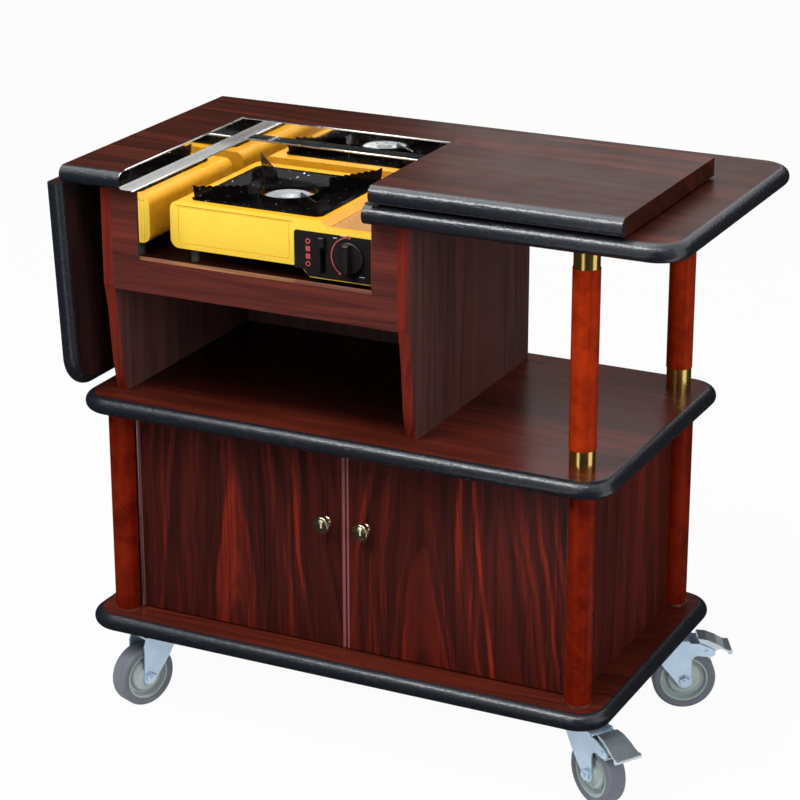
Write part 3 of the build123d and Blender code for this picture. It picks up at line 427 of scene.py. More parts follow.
LOG_NUMBERS = {"Centre": 0.0, "Depth": 0.05, "Slant": 0.2, "Spacing": 0.02, "Wander": 0.05}
LAYERS: dict[Group, tuple[Layer, ...]] = {
    # Red streaks and broad shade of sawn wood, long along local Z.
    Group.GRAIN: (
        Layer("Streaks", (85.0, 85.0, 1.5), 4.0, 0.62, (0.34, 0.68), (0.0, 3.0, 9.0)),
        Layer("Shade", (17.0, 17.0, 1.0), 2.0, 0.6, (0.38, 0.66), (11.0, 2.0, 5.0)),
    ),
    # Fibres and pores, long along local Z.
    Group.STREAKS: (
        Layer("Fibre", (260.0, 260.0, 4.5), 3.0, 0.6),
        Layer("Pores", (700.0, 700.0, 22.0), 2.0, 0.5, (0.60, 0.74), (1.0, 4.0, 2.0)),
    ),
    # Faint wiping marks, and dust.
    Group.SMUDGE: (
        Layer("Patches", (9.0, 9.0, 9.0), 4.0, 0.6, (0.35, 0.75)),
        Layer("Specks", (520.0, 520.0, 520.0), 1.0, 0.4, (0.70, 0.78)),
    ),
    # Waviness, pale rubs and pits of an extruded moulding.
    Group.SCUFF: (
        Layer("Relief", (95.0, 95.0, 190.0), 3.0, 0.65),
        Layer("Rubs", (30.0, 30.0, 190.0), 4.0, 0.7, (0.58, 0.80), (5.0, 0.0, 1.0)),
        Layer("Pits", (340.0, 340.0, 560.0), 2.0, 0.6, (0.56, 0.74)),
    ),
    # Fine grit and stains of a plated, cast or moulded surface.
    Group.CAST: (
        Layer("Grit", (900.0, 900.0, 900.0), 2.0, 0.6),
        Layer("Stain", (35.0, 35.0, 35.0), 4.0, 0.65, (0.35, 0.72)),
    ),
}


# Finishes


class Finish:
    """Base of the finishes: each makes its material, with a Principled BSDF, once."""

    name: str = "finish"

    @cache
    def material(self) -> bpy.types.Material:
        """Builds the finish's material, the first time that it is asked for.

        Returns:
            The material.
        """
        material = bpy.data.materials.new(self.name)
        tree = Tree.emptied(material)
        shader = tree.add("ShaderNodeBsdfPrincipled")
        output = tree.add("ShaderNodeOutputMaterial")
        tree.feed(output.inputs["Surface"], shader.outputs["BSDF"])
        for name, value in self.dress(tree).items():
            tree.feed(shader.inputs[name], value)
        return material

    def dress(self, tree: Tree) -> dict[str, Value]:
        """The finish's own effects.

        Args:
            tree: Tree of the material.

        Returns:
            Sockets and numbers, by the name of the shader's input.
        """
        raise NotImplementedError


@dataclass(frozen=True)
class WoodFinish(Finish):
    """Laminated reddish wood with dark rings, red streaks and a satin face.

    The grain is that of a log: centre, depth, slant, spacing and wander are in metres. Bands are
    strips of an edge band's colour between two places along the cart, lighter in part as a painted
    highlight where a door's rounded edge catches light. The painted shade box is the part of a
    shelf under the upper cabinet that is darkened with painted shade: left, right and front. Both
    are in working millimetres.
    """

    name: str = "wood"
    run: GrainRun = GrainRun.UPRIGHT
    dark: Colour = (0.012, 0.0045, 0.004)
    middle: Colour = (0.038, 0.0075, 0.006)
    bright: Colour = (0.150, 0.018, 0.009)
    centre: float = 0.0
    depth: float = 0.06
    slant: float = 0.12
    spacing: float = 0.03
    wander: float = 0.04
    ring_share: float = 0.5
    line_share: float = 0.5
    fibre_share: float = 0.25
    pore_share: float = 0.45
    pore_depth: float = 0.8
    relief: float = 0.00005
    gloss: float = 0.34
    wiped: float = 0.03
    dusty: float = 0.06
    shine: float = 0.15
    # A tint on the faces that look one way: edge bands on the upper sides and the fascia, and
    # painted shade on the drop leaf's inner face.
    tinted_face: Optional[str] = None
    edge_and_shade_colour: Colour = (0.12, 0.014, 0.009)
    tinted_face_deeper: float = 0.45
    bands: tuple[tuple[float, float], ...] = ()
    # Colour of the edge bands, lighter in part as a painted highlight.
    band_and_highlight_colour: Colour = (0.20, 0.060, 0.065)
    # Painted shade under the upper cabinet: its box, its tone and how far it fades in.
    painted_shade_box: Optional[tuple[float, float, float]] = None
    painted_shade_tone: Colour = (0.12, 0.11, 0.14)
    painted_shade_fade: float = 90.0

    def along_grain(self, tree: Tree, vector: Socket) -> Socket:
        """Coordinates turned so that the grain lies along local Z.

        Args:
            tree: Tree of the material.
            vector: Object coordinates.

        Returns:
            The turned coordinates.
        """
        x, y, z = tree.split(vector)
        if self.run is GrainRun.ALONG:
            return tree.join(tree.plus(y, z), z, x)
        return tree.join(tree.plus(x, y), y, z)

    def dress(self, tree: Tree) -> dict[str, Value]:
        """Rings, streaks and pores in the colour, a soft relief, and a smudged sheen.

        Args:
            tree: Tree of the material.

        Returns:
            Sockets and numbers, by the name of the shader's input.
        """
        plain = tree.coordinates()
        vector = self.along_grain(tree, plain)
        grain = tree.place_group(
            Group.GRAIN, vector, Centre=self.centre, Depth=self.depth, Slant=self.slant,
            Spacing=self.spacing, Wander=self.wander,
        )
        streaks = tree.place_group(Group.STREAKS, vector, Scale=1.0)
        smudge = tree.place_group(Group.SMUDGE, plain, Scale=1.0)
        fibre = tree.step(streaks["Fibre"], low=0.30, high=0.72)
        ring = tree.times(grain["Rings"], self.ring_share)
        streak = tree.times(grain["Streaks"], 1.0 - self.fibre_share - self.ring_share)
        weight = tree.plus(tree.plus(ring, streak), tree.times(fibre, self.fibre_share))
        colour = tree.mix(tree.step(weight, low=-0.05, high=0.55), self.dark, self.middle)
        shade = tree.lerp(grain["Shade"], low=0.15, high=1.0)
        hot = tree.times(tree.step(weight, low=0.40, high=1.0), shade)
        colour = tree.mix(hot, colour, self.bright)
        colour = tree.mix(tree.times(grain["Lines"], self.line_share), colour, self.dark)
        colour = tree.mix(tree.times(streaks["Pores"], self.pore_share), colour, self.dark)
        if self.tinted_face is not None:
            colour = self.paint_tinted_face(tree, colour, weight)
        x, y, _ = tree.split(plain)
        # Edge bands of the doors, lighter in part as a painted highlight where a rounded edge
        # catches light.
        for low, high in self.bands:
            colour = tree.mix(tree.between(x, low, high), colour, self.band_and_highlight_colour)
        # Painted shade: the shelf is darkened under the upper cabinet, fading in behind its front.
        if self.painted_shade_box is not None:
            left, right, front = self.painted_shade_box
            behind = tree.step(y, low=front * MM, high=(front + self.painted_shade_fade) * MM)
            painted_shade_share = tree.times(tree.between(x, left, right), behind)
            colour = tree.mix(painted_shade_share, colour, self.painted_shade_tone, "MULTIPLY")
        height = tree.minus(fibre, tree.times(streaks["Pores"], self.pore_depth))
        wiped, dusty = self.gloss - self.wiped, self.gloss + self.dusty
        return {
            "Base Color": colour,
            "Roughness": tree.lerp(smudge["Patches"], wiped, dusty),
            "Specular IOR Level": self.shine,
            "Normal": tree.bump(height, self.relief, strength=0.5),
        }

    def paint_tinted_face(self, tree: Tree, colour: Socket, weight: Socket) -> Socket:
        """Lays a tint over the faces that look one way: edge bands, and painted shade on the leaf.

        Args:
            tree: Tree of the material.
            colour: The wood's colour.
            weight: The grain, which shows a little in the tint.

        Returns:
            The colour with the tint.
        """
        sign, axis = self.tinted_face
        part = dict(zip("xyz", tree.facing()))[axis]
        if sign == "-":
            part = tree.times(part, -1.0)
        deeper = tuple(value * self.tinted_face_deeper for value in self.edge_and_shade_colour)
        face_tint = tree.mix(tree.step(weight, low=0.10, high=0.60), deeper, self.edge_and_shade_colour)
        return tree.mix(tree.step(part, low=0.45, high=0.6), colour, face_tint)


@dataclass(frozen=True)
class MouldingFinish(Finish):
    """Bluish black edge moulding, softly shining, scuffed and pitted."""

    name: str = "edge_moulding"
    colour: Colour = (0.0075, 0.0095, 0.0145)
    rubbed: Colour = (0.052, 0.064, 0.088)
    rub_share: float = 0.30
    speck_share: float = 0.5
    polish: float = 0.26
    dull: float = 0.46
    shine: float = 0.75
    pit_depth: float = 0.35
    relief: float = 0.0010

    def dress(self, tree: Tree) -> dict[str, Value]:
        """Rubs in the colour and roughness, and a wavy relief.

        Args:
            tree: Tree of the material.

        Returns:
            Sockets and numbers, by the name of the shader's input.
        """
        vector = tree.coordinates()
        scuff = tree.place_group(Group.SCUFF, vector, Scale=1.0)
        smudge = tree.place_group(Group.SMUDGE, vector, Scale=2.0)
        colour = tree.mix(tree.times(scuff["Rubs"], self.rub_share), self.colour, self.rubbed)
        colour = tree.mix(tree.times(smudge["Specks"], self.speck_share), colour, self.rubbed)
        height = tree.plus(scuff["Relief"], tree.times(scuff["Pits"], self.pit_depth))
        return {
            "Base Color": colour,
            "Roughness": tree.lerp(scuff["Rubs"], self.polish, self.dull),
            "Specular IOR Level": self.shine,
            "Normal": tree.bump(height, self.relief, strength=0.6),
        }


@dataclass(frozen=True)
class LacquerFinish(Finish):
    """Clear lacquer over turned wood with a blotchy orange-red stain."""

    name: str = "post_wood"
    dark: Colour = (0.185, 0.0110, 0.0010)
    bright: Colour = (0.330, 0.0240, 0.0016)
    blotch_share: float = 0.36
    fibre_share: float = 0.28
    pore_share: float = 0.35
    polish: float = 0.26
    dull: float = 0.36
    shine: float = 0.06
    relief: float = 0.00008

    def dress(self, tree: Tree) -> dict[str, Value]:
        """Blotches, upright streaks and pores under a thin lacquer.

        Args:
            tree: Tree of the material.

        Returns:
            Sockets and numbers, by the name of the shader's input.
        """
        vector = tree.coordinates()
        streaks = tree.place_group(Group.STREAKS, vector, Scale=0.6)
        smudge = tree.place_group(Group.SMUDGE, vector, Scale=2.2)
        cast = tree.place_group(Group.CAST, vector, Scale=1.3)
        fibre = tree.step(streaks["Fibre"], low=0.25, high=0.75)
        blotch = tree.times(tree.plus(smudge["Patches"], cast["Stain"]), self.blotch_share)
        weight = tree.plus(blotch, tree.times(fibre, self.fibre_share))
        colour = tree.mix(tree.step(weight, low=0.05, high=0.85), self.dark, self.bright)
        colour = tree.mix(tree.times(streaks["Pores"], self.pore_share), colour, self.dark)
        return {
            "Base Color": colour,
            "Roughness": tree.lerp(smudge["Patches"], self.polish, self.dull),
            "Specular IOR Level": self.shine,
            "Normal": tree.bump(streaks["Fibre"], self.relief, strength=0.4),
        }


@dataclass(frozen=True)
class MetalFinish(Finish):
    """Bare or plated metal with grit, stains and smudges.

    With flat_dull, the faces that look up are satin, as far as flat_end along the cart.
    """

    name: str = "metal"
    colour: Colour = (0.7, 0.7, 0.72)
    stained: Colour = (0.5, 0.5, 0.52)
    stain_share: float = 0.6
    polish: float = 0.15
    dull: float = 0.3
    grit: float = 0.00003
    scale: float = 1.0
    metal: float = 1.0
    flat_dull: Optional[float] = None
    flat_metal: float = 0.5
    flat_end: float = 0.0

    def dress(self, tree: Tree) -> dict[str, Value]:
        """Stains in colour, smudges in roughness, fine grit, and satin on the flat faces.

        Args:
            tree: Tree of the material.

        Returns:
            Sockets and numbers, by the name of the shader's input.
        """
        vector = tree.coordinates()
        cast = tree.place_group(Group.CAST, vector, Scale=self.scale)
        smudge = tree.place_group(Group.SMUDGE, vector, Scale=self.scale * 2)
        colour = tree.mix(tree.times(cast["Stain"], self.stain_share), self.colour, self.stained)
        metal = self.metal
        rough = tree.lerp(smudge["Patches"], self.polish, self.dull)
        if self.flat_dull is not None:
            _, _, up = tree.facing()
            x, _, _ = tree.split(vector)
            near = tree.math("LESS_THAN", x, Place.along(self.flat_end))
            flat = tree.times(tree.step(up, low=0.6, high=0.9), near)
            rough = tree.lerp(flat, rough, self.flat_dull)
            metal = tree.lerp(flat, self.metal, self.flat_metal)
        return {
            "Base Color": colour, "Metallic": metal, "Roughness": rough,
            "Normal": tree.bump(cast["Grit"], self.grit, strength=0.4),
        }


@dataclass(frozen=True)
class CoatedFinish(Finish):
    """Paint, enamel, plastic or rubber with smudges and a moulded or sprayed surface."""

    name: str = "coated"
    colour: Colour = (0.5, 0.5, 0.5)
    worn: Colour = (0.4, 0.4, 0.4)
    speck_share: float = 0.3
    polish: float = 0.3
    dull: float = 0.45
    coat: float = 0.0
    coat_dull: float = 0.08
    peel: float = 0.00004
    scale: float = 1.0
    wear: float = 0.5
    shine: float = 0.5
    chips: float = 0.0
    chip_colour: Colour = (0.80, 0.81, 0.84)
    chip_scale: float = 0.42
    painted_side_shade: Optional[Colour] = None

    def dress(self, tree: Tree) -> dict[str, Value]:
        """Worn patches, smudged gloss, relief, bare chips, and a painted shade tone off the front.

        Args:
            tree: Tree of the material.

        Returns:
            Sockets and numbers, by the name of the shader's input.
        """
        vector = tree.coordinates()
        cast = tree.place_group(Group.CAST, vector, Scale=self.scale)
        smudge = tree.place_group(Group.SMUDGE, vector, Scale=self.scale * 2)
        base = self.colour
        # Painted shade: the faces that don't look to the front get a deeper tone.
        if self.painted_side_shade is not None:
            _, front, _ = tree.facing()
            base = tree.mix(tree.step(front, low=-0.8, high=-0.5), self.colour, self.painted_side_shade)
        colour = tree.mix(tree.times(cast["Stain"], self.wear), base, self.worn)
        colour = tree.mix(tree.times(smudge["Specks"], self.speck_share), colour, self.worn)
        bare = 0.0
        if self.chips > 0.0:
            scuff = tree.place_group(Group.SCUFF, vector, Scale=self.chip_scale)
            bare = tree.times(tree.step(scuff["Pits"], low=0.80, high=1.0), self.chips)
            colour = tree.mix(bare, colour, self.chip_colour)
        return {
            "Base Color": colour, "Metallic": bare, "Specular IOR Level": self.shine,
            "Roughness": tree.lerp(smudge["Patches"], self.polish, self.dull),
            "Coat Weight": self.coat, "Coat Roughness": self.coat_dull,
            "Normal": tree.bump(cast["Grit"], self.peel, strength=0.5),
        }


TOP_WOOD = WoodFinish(
    "top_wood", GrainRun.ALONG, dark=(0.018, 0.0045, 0.0030), middle=(0.044, 0.0100, 0.0055),
    bright=(0.105, 0.020, 0.011), centre=0.30, depth=0.10, slant=0.10, spacing=0.030, wander=0.05,
    ring_share=0.35, line_share=0.25, gloss=0.34, shine=0.09,
)
SHELF_WOOD = WoodFinish(
    "shelf_wood", GrainRun.ALONG, dark=(0.034, 0.0055, 0.0036), middle=(0.086, 0.0130, 0.0070),
    bright=(0.175, 0.025, 0.011), centre=0.34, depth=0.12, slant=0.08, spacing=0.034, wander=0.05,
    ring_share=0.35, line_share=0.25, gloss=0.26, shine=0.25,
)
# The middle shelf gets painted shade under the upper cabinet.
MID_SHELF_WOOD = replace(SHELF_WOOD, name="mid_shelf_wood", painted_shade_box=(-372.5, 102.0, -210.0))
# Painted light: the back of the niche is pale, standing in for the light that falls on it.
NICHE_WOOD_PAINTED_LIGHT = WoodFinish(
    "niche_wood_painted_light", dark=(0.110, 0.0700, 0.0640), middle=(0.180, 0.1000, 0.0900),
    bright=(0.260, 0.120, 0.100), centre=0.4, depth=0.02, slant=0.05, spacing=0.026, ring_share=0.4,
    shine=0.08,
)
# Painted shade: the leaf's inner face, which looks +x, gets a dark greyish tint for the shade that
# it hangs in.
LEAF_WOOD = WoodFinish(
    "leaf_wood", dark=(0.018, 0.0045, 0.0030), middle=(0.044, 0.0100, 0.0055),
    bright=(0.105, 0.020, 0.011), centre=-0.2, spacing=0.04, ring_share=0.35, gloss=0.36,
    shine=0.08, tinted_face="+x", edge_and_shade_colour=(0.027, 0.0105, 0.0097),
)
DOOR_LEFT_WOOD = WoodFinish(
    "door_wood_left", centre=-0.420, depth=0.020, slant=0.10, spacing=0.018, wander=0.09,
    dark=(0.015, 0.0042, 0.0034), middle=(0.048, 0.0068, 0.0045), bright=(0.215, 0.0145, 0.0048),
    ring_share=0.40, line_share=0.30, bands=((-6.0, -1.0), (-360.0, -356.5)),
)
DOOR_RIGHT_WOOD = WoodFinish(
    "door_wood_right", centre=-0.095, depth=0.014, slant=0.13, spacing=0.017, wander=0.08,
    dark=(0.016, 0.0042, 0.0034), middle=(0.056, 0.0072, 0.0044), bright=(0.255, 0.0160, 0.0045),
    ring_share=0.44, line_share=0.35, bands=((1.0, 5.0),),
)
PANEL_WOOD = WoodFinish(
    "panel_wood", dark=(0.026, 0.0060, 0.0046), middle=(0.070, 0.0110, 0.0075),
    bright=(0.170, 0.019, 0.009), centre=0.4, depth=0.02, slant=0.05, spacing=0.026, ring_share=0.4,
    shine=0.08,
)
SIDE_WOOD = WoodFinish(
    "upper_side_wood", dark=(0.046, 0.0230, 0.0220), middle=(0.092, 0.0390, 0.0350),
    bright=(0.165, 0.047, 0.036), centre=0.1, depth=0.03, slant=0.05, spacing=0.034, ring_share=0.4,
    tinted_face="-y", edge_and_shade_colour=(0.140, 0.0145, 0.0082), shine=0.10,
)
FASCIA_WOOD = WoodFinish(
    "fascia_wood", GrainRun.ALONG, dark=(0.040, 0.0110, 0.0090), middle=(0.086, 0.0190, 0.0145),
    bright=(0.165, 0.029, 0.019), centre=0.512, depth=0.008, slant=0.05, spacing=0.012,
    ring_share=0.40, tinted_face="+z", edge_and_shade_colour=(0.19, 0.075, 0.050), shine=0.12,
)
FLOOR_WOOD = WoodFinish(
    "stove_floor_wood", GrainRun.ALONG, dark=(0.012, 0.0040, 0.0035),
    middle=(0.030, 0.0070, 0.0055), bright=(0.060, 0.010, 0.006), centre=0.3, depth=0.05,
    spacing=0.024, ring_share=0.35, shine=0.05,
)
MOULDING = MouldingFinish()
UPPER_POST_WOOD = LacquerFinish(name="upper_post_wood")
# Painted shade: the lower posts are a darker copy of the upper posts' lacquer, for the shade under
# the shelf.
SHADED_LOWER_POST_WOOD = LacquerFinish(
    name="lower_post_wood_shaded", dark=(0.085, 0.0045, 0.0008), bright=(0.175, 0.0100, 0.0011),
)
MIRROR_STEEL = MetalFinish(
    "mirror_steel", (0.90, 0.89, 0.87), (0.82, 0.81, 0.80), polish=0.03, dull=0.08, grit=0.000004,
)
TRIM_STEEL = MetalFinish(
    "trim_steel", (0.88, 0.88, 0.87), (0.80, 0.80, 0.79), polish=0.03, dull=0.08, grit=0.000006,
    flat_dull=0.26, flat_metal=0.76, flat_end=-325.0,
)
HEM_STEEL = MetalFinish(
    "hem_steel", (0.86, 0.87, 0.88), (0.70, 0.71, 0.72), polish=0.20, dull=0.36, grit=0.00003,
    scale=2.0,
)
HINGE_STEEL = MetalFinish(
    "hinge_steel", (0.52, 0.52, 0.52), (0.34, 0.34, 0.35), polish=0.28, dull=0.45,
)
BRASS = MetalFinish("brass", (0.86, 0.60, 0.18), (0.70, 0.45, 0.12), polish=0.17, dull=0.28)
KNOB_BRASS = MetalFinish(
    "knob_brass", (0.80, 0.68, 0.45), (0.62, 0.50, 0.30), polish=0.10, dull=0.20,
)
RING_METAL = MetalFinish(
    "foot_ring_metal", (0.42, 0.30, 0.22), (0.26, 0.16, 0.11), polish=0.35, dull=0.55,
)
ZINC = MetalFinish(
    "zinc", (0.52, 0.66, 0.80), (0.40, 0.52, 0.66), polish=0.24, dull=0.40, grit=0.00003,
    metal=0.60,
)
PEDAL_ZINC = MetalFinish(
    "pedal_zinc", (0.56, 0.64, 0.70), (0.42, 0.49, 0.55), polish=0.22, dull=0.36, grit=0.00003,
    metal=0.78,
)
RIM = CoatedFinish("rim_plastic", (0.42, 0.49, 0.48), (0.30, 0.36, 0.37), polish=0.4, dull=0.55)
TYRE = CoatedFinish(
    "tyre", (0.132, 0.142, 0.172), (0.185, 0.200, 0.230), polish=0.55, dull=0.75, peel=0.0001,
)
# Painted shade: the yellow enamel is a deeper orange on the faces that don't look to the front.
YELLOW = CoatedFinish(
    "yellow_enamel", (0.90, 0.62, 0.062), (0.88, 0.55, 0.040), polish=0.24, dull=0.34, coat=0.15,
    peel=0.00002, wear=0.25, shine=0.4, painted_side_shade=(0.90, 0.42, 0.012),
)
# Painted shade: the gas cover on top is a darker tan than the yellow of the body.
SHADED_GAS_COVER = CoatedFinish(
    "gas_cover_shaded_enamel", (0.52, 0.250, 0.080), (0.46, 0.220, 0.075), polish=0.26, dull=0.38,
    peel=0.00002,
)
SEAM = CoatedFinish("casing_seam", (0.36, 0.135, 0.012), (0.24, 0.080, 0.010), polish=0.4, dull=0.6)
BLACK_PANEL = CoatedFinish(
    "black_plastic", (0.0125, 0.0100, 0.0112), (0.020, 0.017, 0.018), polish=0.22, dull=0.36,
    shine=0.35,
)
BLACK_ENAMEL = CoatedFinish(
    "black_enamel", (0.0030, 0.0026, 0.0028), (0.006, 0.005, 0.005), polish=0.05, dull=0.10,
    peel=0.00010, scale=0.7, shine=0.11, chips=1.0,
)
BURNER = MetalFinish(
    "burner_metal", (0.80, 0.82, 0.84), (0.58, 0.60, 0.62), polish=0.25, dull=0.45, grit=0.00008,
    metal=0.7,
)
FOOT = CoatedFinish("foot_rubber", (0.060, 0.055, 0.052), (0.11, 0.10, 0.09), polish=0.5, dull=0.7)
RED_MARK = CoatedFinish(
    "red_print", (0.58, 0.090, 0.090), (0.45, 0.07, 0.07), polish=0.35, dull=0.5,
)
WHITE_MARK = CoatedFinish("white_print", (0.62, 0.62, 0.62), (0.5, 0.5, 0.5), polish=0.35, dull=0.5)


# Meshes of the small fittings


class Form:
    """A mesh in the making, of simple closed forms in working millimetres."""

    rod_sides: int = 12
    corner_steps: int = 4
    band_steps: int = 24

    def __init__(self) -> None:
        """Starts with an empty mesh."""
        self.mesh = bmesh.new()

    def to_object(self, name: str, material: bpy.types.Material) -> bpy.types.Object:
        """Turns the mesh, which is freed, into an object.

        Args:
            name: Its name.
            material: Its material.

        Returns:
            The object.
        """
        data = bpy.data.meshes.new(name)
        self.mesh.to_mesh(data)
        self.mesh.free()
        data.materials.append(material)
        return link_object(name, data)

    def close(self, near: Iterable[Vector], far: Iterable[Vector]) -> None:
        """Ends and walls of a form between two outlines of as many corners.

        Args:
            near: Corners of one end.
            far: Corners of the other end, in the same order.
        """
        near, far = ([self.mesh.verts.new(corner) for corner in end] for end in (near, far))
        self.mesh.faces.new(near)
        self.mesh.faces.new(list(reversed(far)))
        for index in range(len(near)):
            follow = (index + 1) % len(near)
            self.mesh.faces.new((near[follow], near[index], far[index], far[follow]))

    def rod(self, start: Point, end: Point, radius: float) -> None:
        """Adds a round rod with closed ends.

        Args:
            start: Middle of one end.
            end: Middle of the other end.
            radius: Radius of the rod.
        """
        low, high = Place.at(*start), Place.at(*end)
        axis = (high - low).normalized()
        side = axis.orthogonal().normalized()
        other = axis.cross(side)
        turns = [2 * math.pi * index / self.rod_sides for index in range(self.rod_sides)]
        spokes = [(side * math.cos(turn) + other * math.sin(turn)) * radius * MM for turn in turns]
        self.close((low + spoke for spoke in spokes), (high + spoke for spoke in spokes))

    def plate(self, outline: Outline, front: float, rear: float) -> None:
        """Adds a thin upright plate with an outline in X and Z, between the Y of two faces."""
        self.close(*([Place.at(x, y, z) for x, z in outline] for y in (front, rear)))

    @classmethod
    def rounded(cls, x: float, z: float, width: float, height: float, radius: float) -> Outline:
        """Outline of a rectangle with rounded corners, in X and Z.

        Args:
            x: Its middle.
            z: Height of that middle.
            width: Width.
            height: Height.
            radius: Radius of the corners.

        Returns:
            The outline.
        """
        points = []
        for corner, (side, rise) in enumerate(((1, 1), (-1, 1), (-1, -1), (1, -1))):
            for step in range(cls.corner_steps + 1):
                turn = math.radians(90 * (corner + step / cls.corner_steps))
                across = x + side * (width / 2 - radius) + radius * math.cos(turn)
                points.append((across, z + rise * (height / 2 - radius) + radius * math.sin(turn)))
        return points

    @classmethod
    def band(
        cls, x: float, z: float, radius: float, width: float, start: float, end: float
    ) -> Outline:
        """Outline of a curved band about a middle in X and Z.

        Args:
            x: Middle of its circle.
            z: Height of that middle.
            radius: Radius to the band's own middle.
            width: Width of the band.
            start: First angle in degrees, from +X towards +Z.
            end: Last angle in degrees.

        Returns:
            The outline.
        """
        shares = [step / cls.band_steps for step in range(cls.band_steps + 1)]
        turns = [math.radians(start + (end - start) * share) for share in shares]
        outer, inner = radius + width / 2, radius - width / 2
        points = [(x + outer * math.cos(turn), z + outer * math.sin(turn)) for turn in turns]
        turns.reverse()
        points += [(x + inner * math.cos(turn), z + inner * math.sin(turn)) for turn in turns]
        return points


# Pieces

FRAME_BODY = "frame"
STOVE_BODY = "stove"
CORNERS = ("front_left", "front_right", "rear_left", "rear_right")


@dataclass
class SubAssembly:
    """Base of the sub-assemblies: dresses nodes and adds pieces to them.

    Each row of dressed has a finish and the nodes that wear it. Sizes are in millimetres, and
    places are those that Place.at turns into points.
    """

    frame: dict
    dressed: ClassVar[tuple[tuple, ...]] = ()

    def build(self) -> None:
        """Gives the sub-assembly's nodes their finishes."""
        for finish, *nodes in self.dressed:
            for node in nodes:
                target = self.frame["nodes"][node]
                target.data.materials.clear()
                target.data.materials.append(finish.material())
                log.info("node %s in %s", node, finish.name)

    def add_piece(
        self, name: str, form: Form, finish: Finish, body: str, smooth: bool = False
    ) -> None:
        """Turns a form into a piece that rides on a body.

        Args:
            name: The piece's name.
            form: Its form.
            finish: Its finish.
            body: The body that it rides on.
            smooth: Whether its faces are smooth.
        """
        bmesh.ops.recalc_face_normals(form.mesh, faces=form.mesh.faces)
        for face in form.mesh.faces:
            face.smooth = smooth
        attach(form.to_object(name, finish.material()), body)
        log.info("piece %s on %s in %s", name, body, finish.name)


@dataclass
class Boards(SubAssembly):
    """The base, the middle shelf and the top with their mouldings, and the steel of the well."""

    dressed = (
        (SHELF_WOOD, "base_board"), (MID_SHELF_WOOD, "mid_shelf"), (TOP_WOOD, "top_board"),
        (MOULDING, "base_edge", "mid_shelf_edge", "top_edge"),
        (TRIM_STEEL, "opening_trim"), (MIRROR_STEEL, "steel_liner"),
    )
    opening_left: float = -340.0
    opening_right: float = 59.5
    opening_rear: float = 125.0
    front: float = -236.0
    rim_setback: float = 8.0
    ledge_width: float = 15.0
    ledge_level: float = 859.5
    top_level: float = 887.3
    hem_r: float = 1.5
    return_left: float = -327.9
    return_right: float = -325.1
    return_low: float = 750.3
    return_high: float = 857.5
    return_front: float = -219.8
    return_rear: float = -203.8

    def build(self) -> None:
        """Dresses the boards, their mouldings and the steel, and adds hems and return."""
        super().build()
        corner = (self.opening_left, self.opening_rear, self.top_level)
        self.add_hem("rim_hem", corner, self.front + self.rim_setback)
        corner = (
            self.opening_left + self.ledge_width, self.opening_rear - self.ledge_width,
            self.ledge_level - self.hem_r,
        )
        self.add_hem("ledge_hem", corner, self.front)
        self.add_return()

    def add_hem(self, name: str, corner: Point, front: float) -> None:
        """Rolled hem along the left and rear edges of the steel.

        Args:
            name: Name of the piece.
            corner: Where the two edges meet.
            front: Y where the left edge begins.
        """
        left, rear, level = corner
        form = Form()
        form.rod((left, front, level), corner, self.hem_r)
        form.rod(corner, (self.opening_right, rear, level), self.hem_r)
        self.add_piece(name, form, HEM_STEEL, FRAME_BODY, smooth=True)

    def add_return(self) -> None:
        """Steel return that carries the liner forward over the inner edge of the left stile."""
        outline = [
            (self.return_left, self.return_low), (self.return_right, self.return_low),
            (self.return_right, self.return_high), (self.return_left, self.return_high),
        ]
        form = Form()
        form.plate(outline, self.return_front, self.return_rear)
        self.add_piece("liner_return", form, MIRROR_STEEL, FRAME_BODY)


@dataclass
class Flaps(SubAssembly):
    """The lid over the stove and the drop leaf."""

    dressed = (
        (TOP_WOOD, "lid_board"), (LEAF_WOOD, "leaf_board"), (MOULDING, "lid_edge", "leaf_edge"),
        (HINGE_STEEL, "lid_hinge_fixed", "lid_hinge_leaf", "leaf_hinge_fixed", "leaf_hinge_leaf"),
    )


@dataclass
class Posts(SubAssembly):
    """The turned posts with their ferrules and foot rings."""

    dressed = (
        (SHADED_LOWER_POST_WOOD, "lower_posts"), (UPPER_POST_WOOD, "upper_posts"),
        (BRASS, "post_ferrules"), (RING_METAL, "foot_rings"),
    )


@dataclass
class LowerCabinet(SubAssembly):
    """The cabinet with its two doors."""

    dressed = (
        (PANEL_WOOD, "cabinet_side_left", "cabinet_side_right", "cabinet_back"),
        (DOOR_LEFT_WOOD, "door_left"), (DOOR_RIGHT_WOOD, "door_right"),
        (HINGE_STEEL, "door_hinge_left", "door_hinge_right", "door_hinge_fixed"),
        (KNOB_BRASS, "door_knob_left", "door_knob_right"),
    )


@dataclass
class UpperCabinet(SubAssembly):
    """The bay that holds the stove, over an open niche."""

    dressed = (
        (SIDE_WOOD, "upper_side_left", "upper_side_right"), (FASCIA_WOOD, "front_fascia"),
        (FLOOR_WOOD, "stove_floor"), (NICHE_WOOD_PAINTED_LIGHT, "niche_back"),
    )


@dataclass
class Casters(SubAssembly):
    """Four swivel casters, two of them with a brake."""

    dressed = (
        (ZINC, "caster_plates", "caster_screws", *(f"fork_{corner}" for corner in CORNERS)),
        (RIM, *(f"rim_{corner}" for corner in CORNERS)),
        (TYRE, *(f"tyre_{corner}" for corner in CORNERS)),
        (PEDAL_ZINC, "brake_pedal_front_right", "brake_pedal_rear_right"),
    )


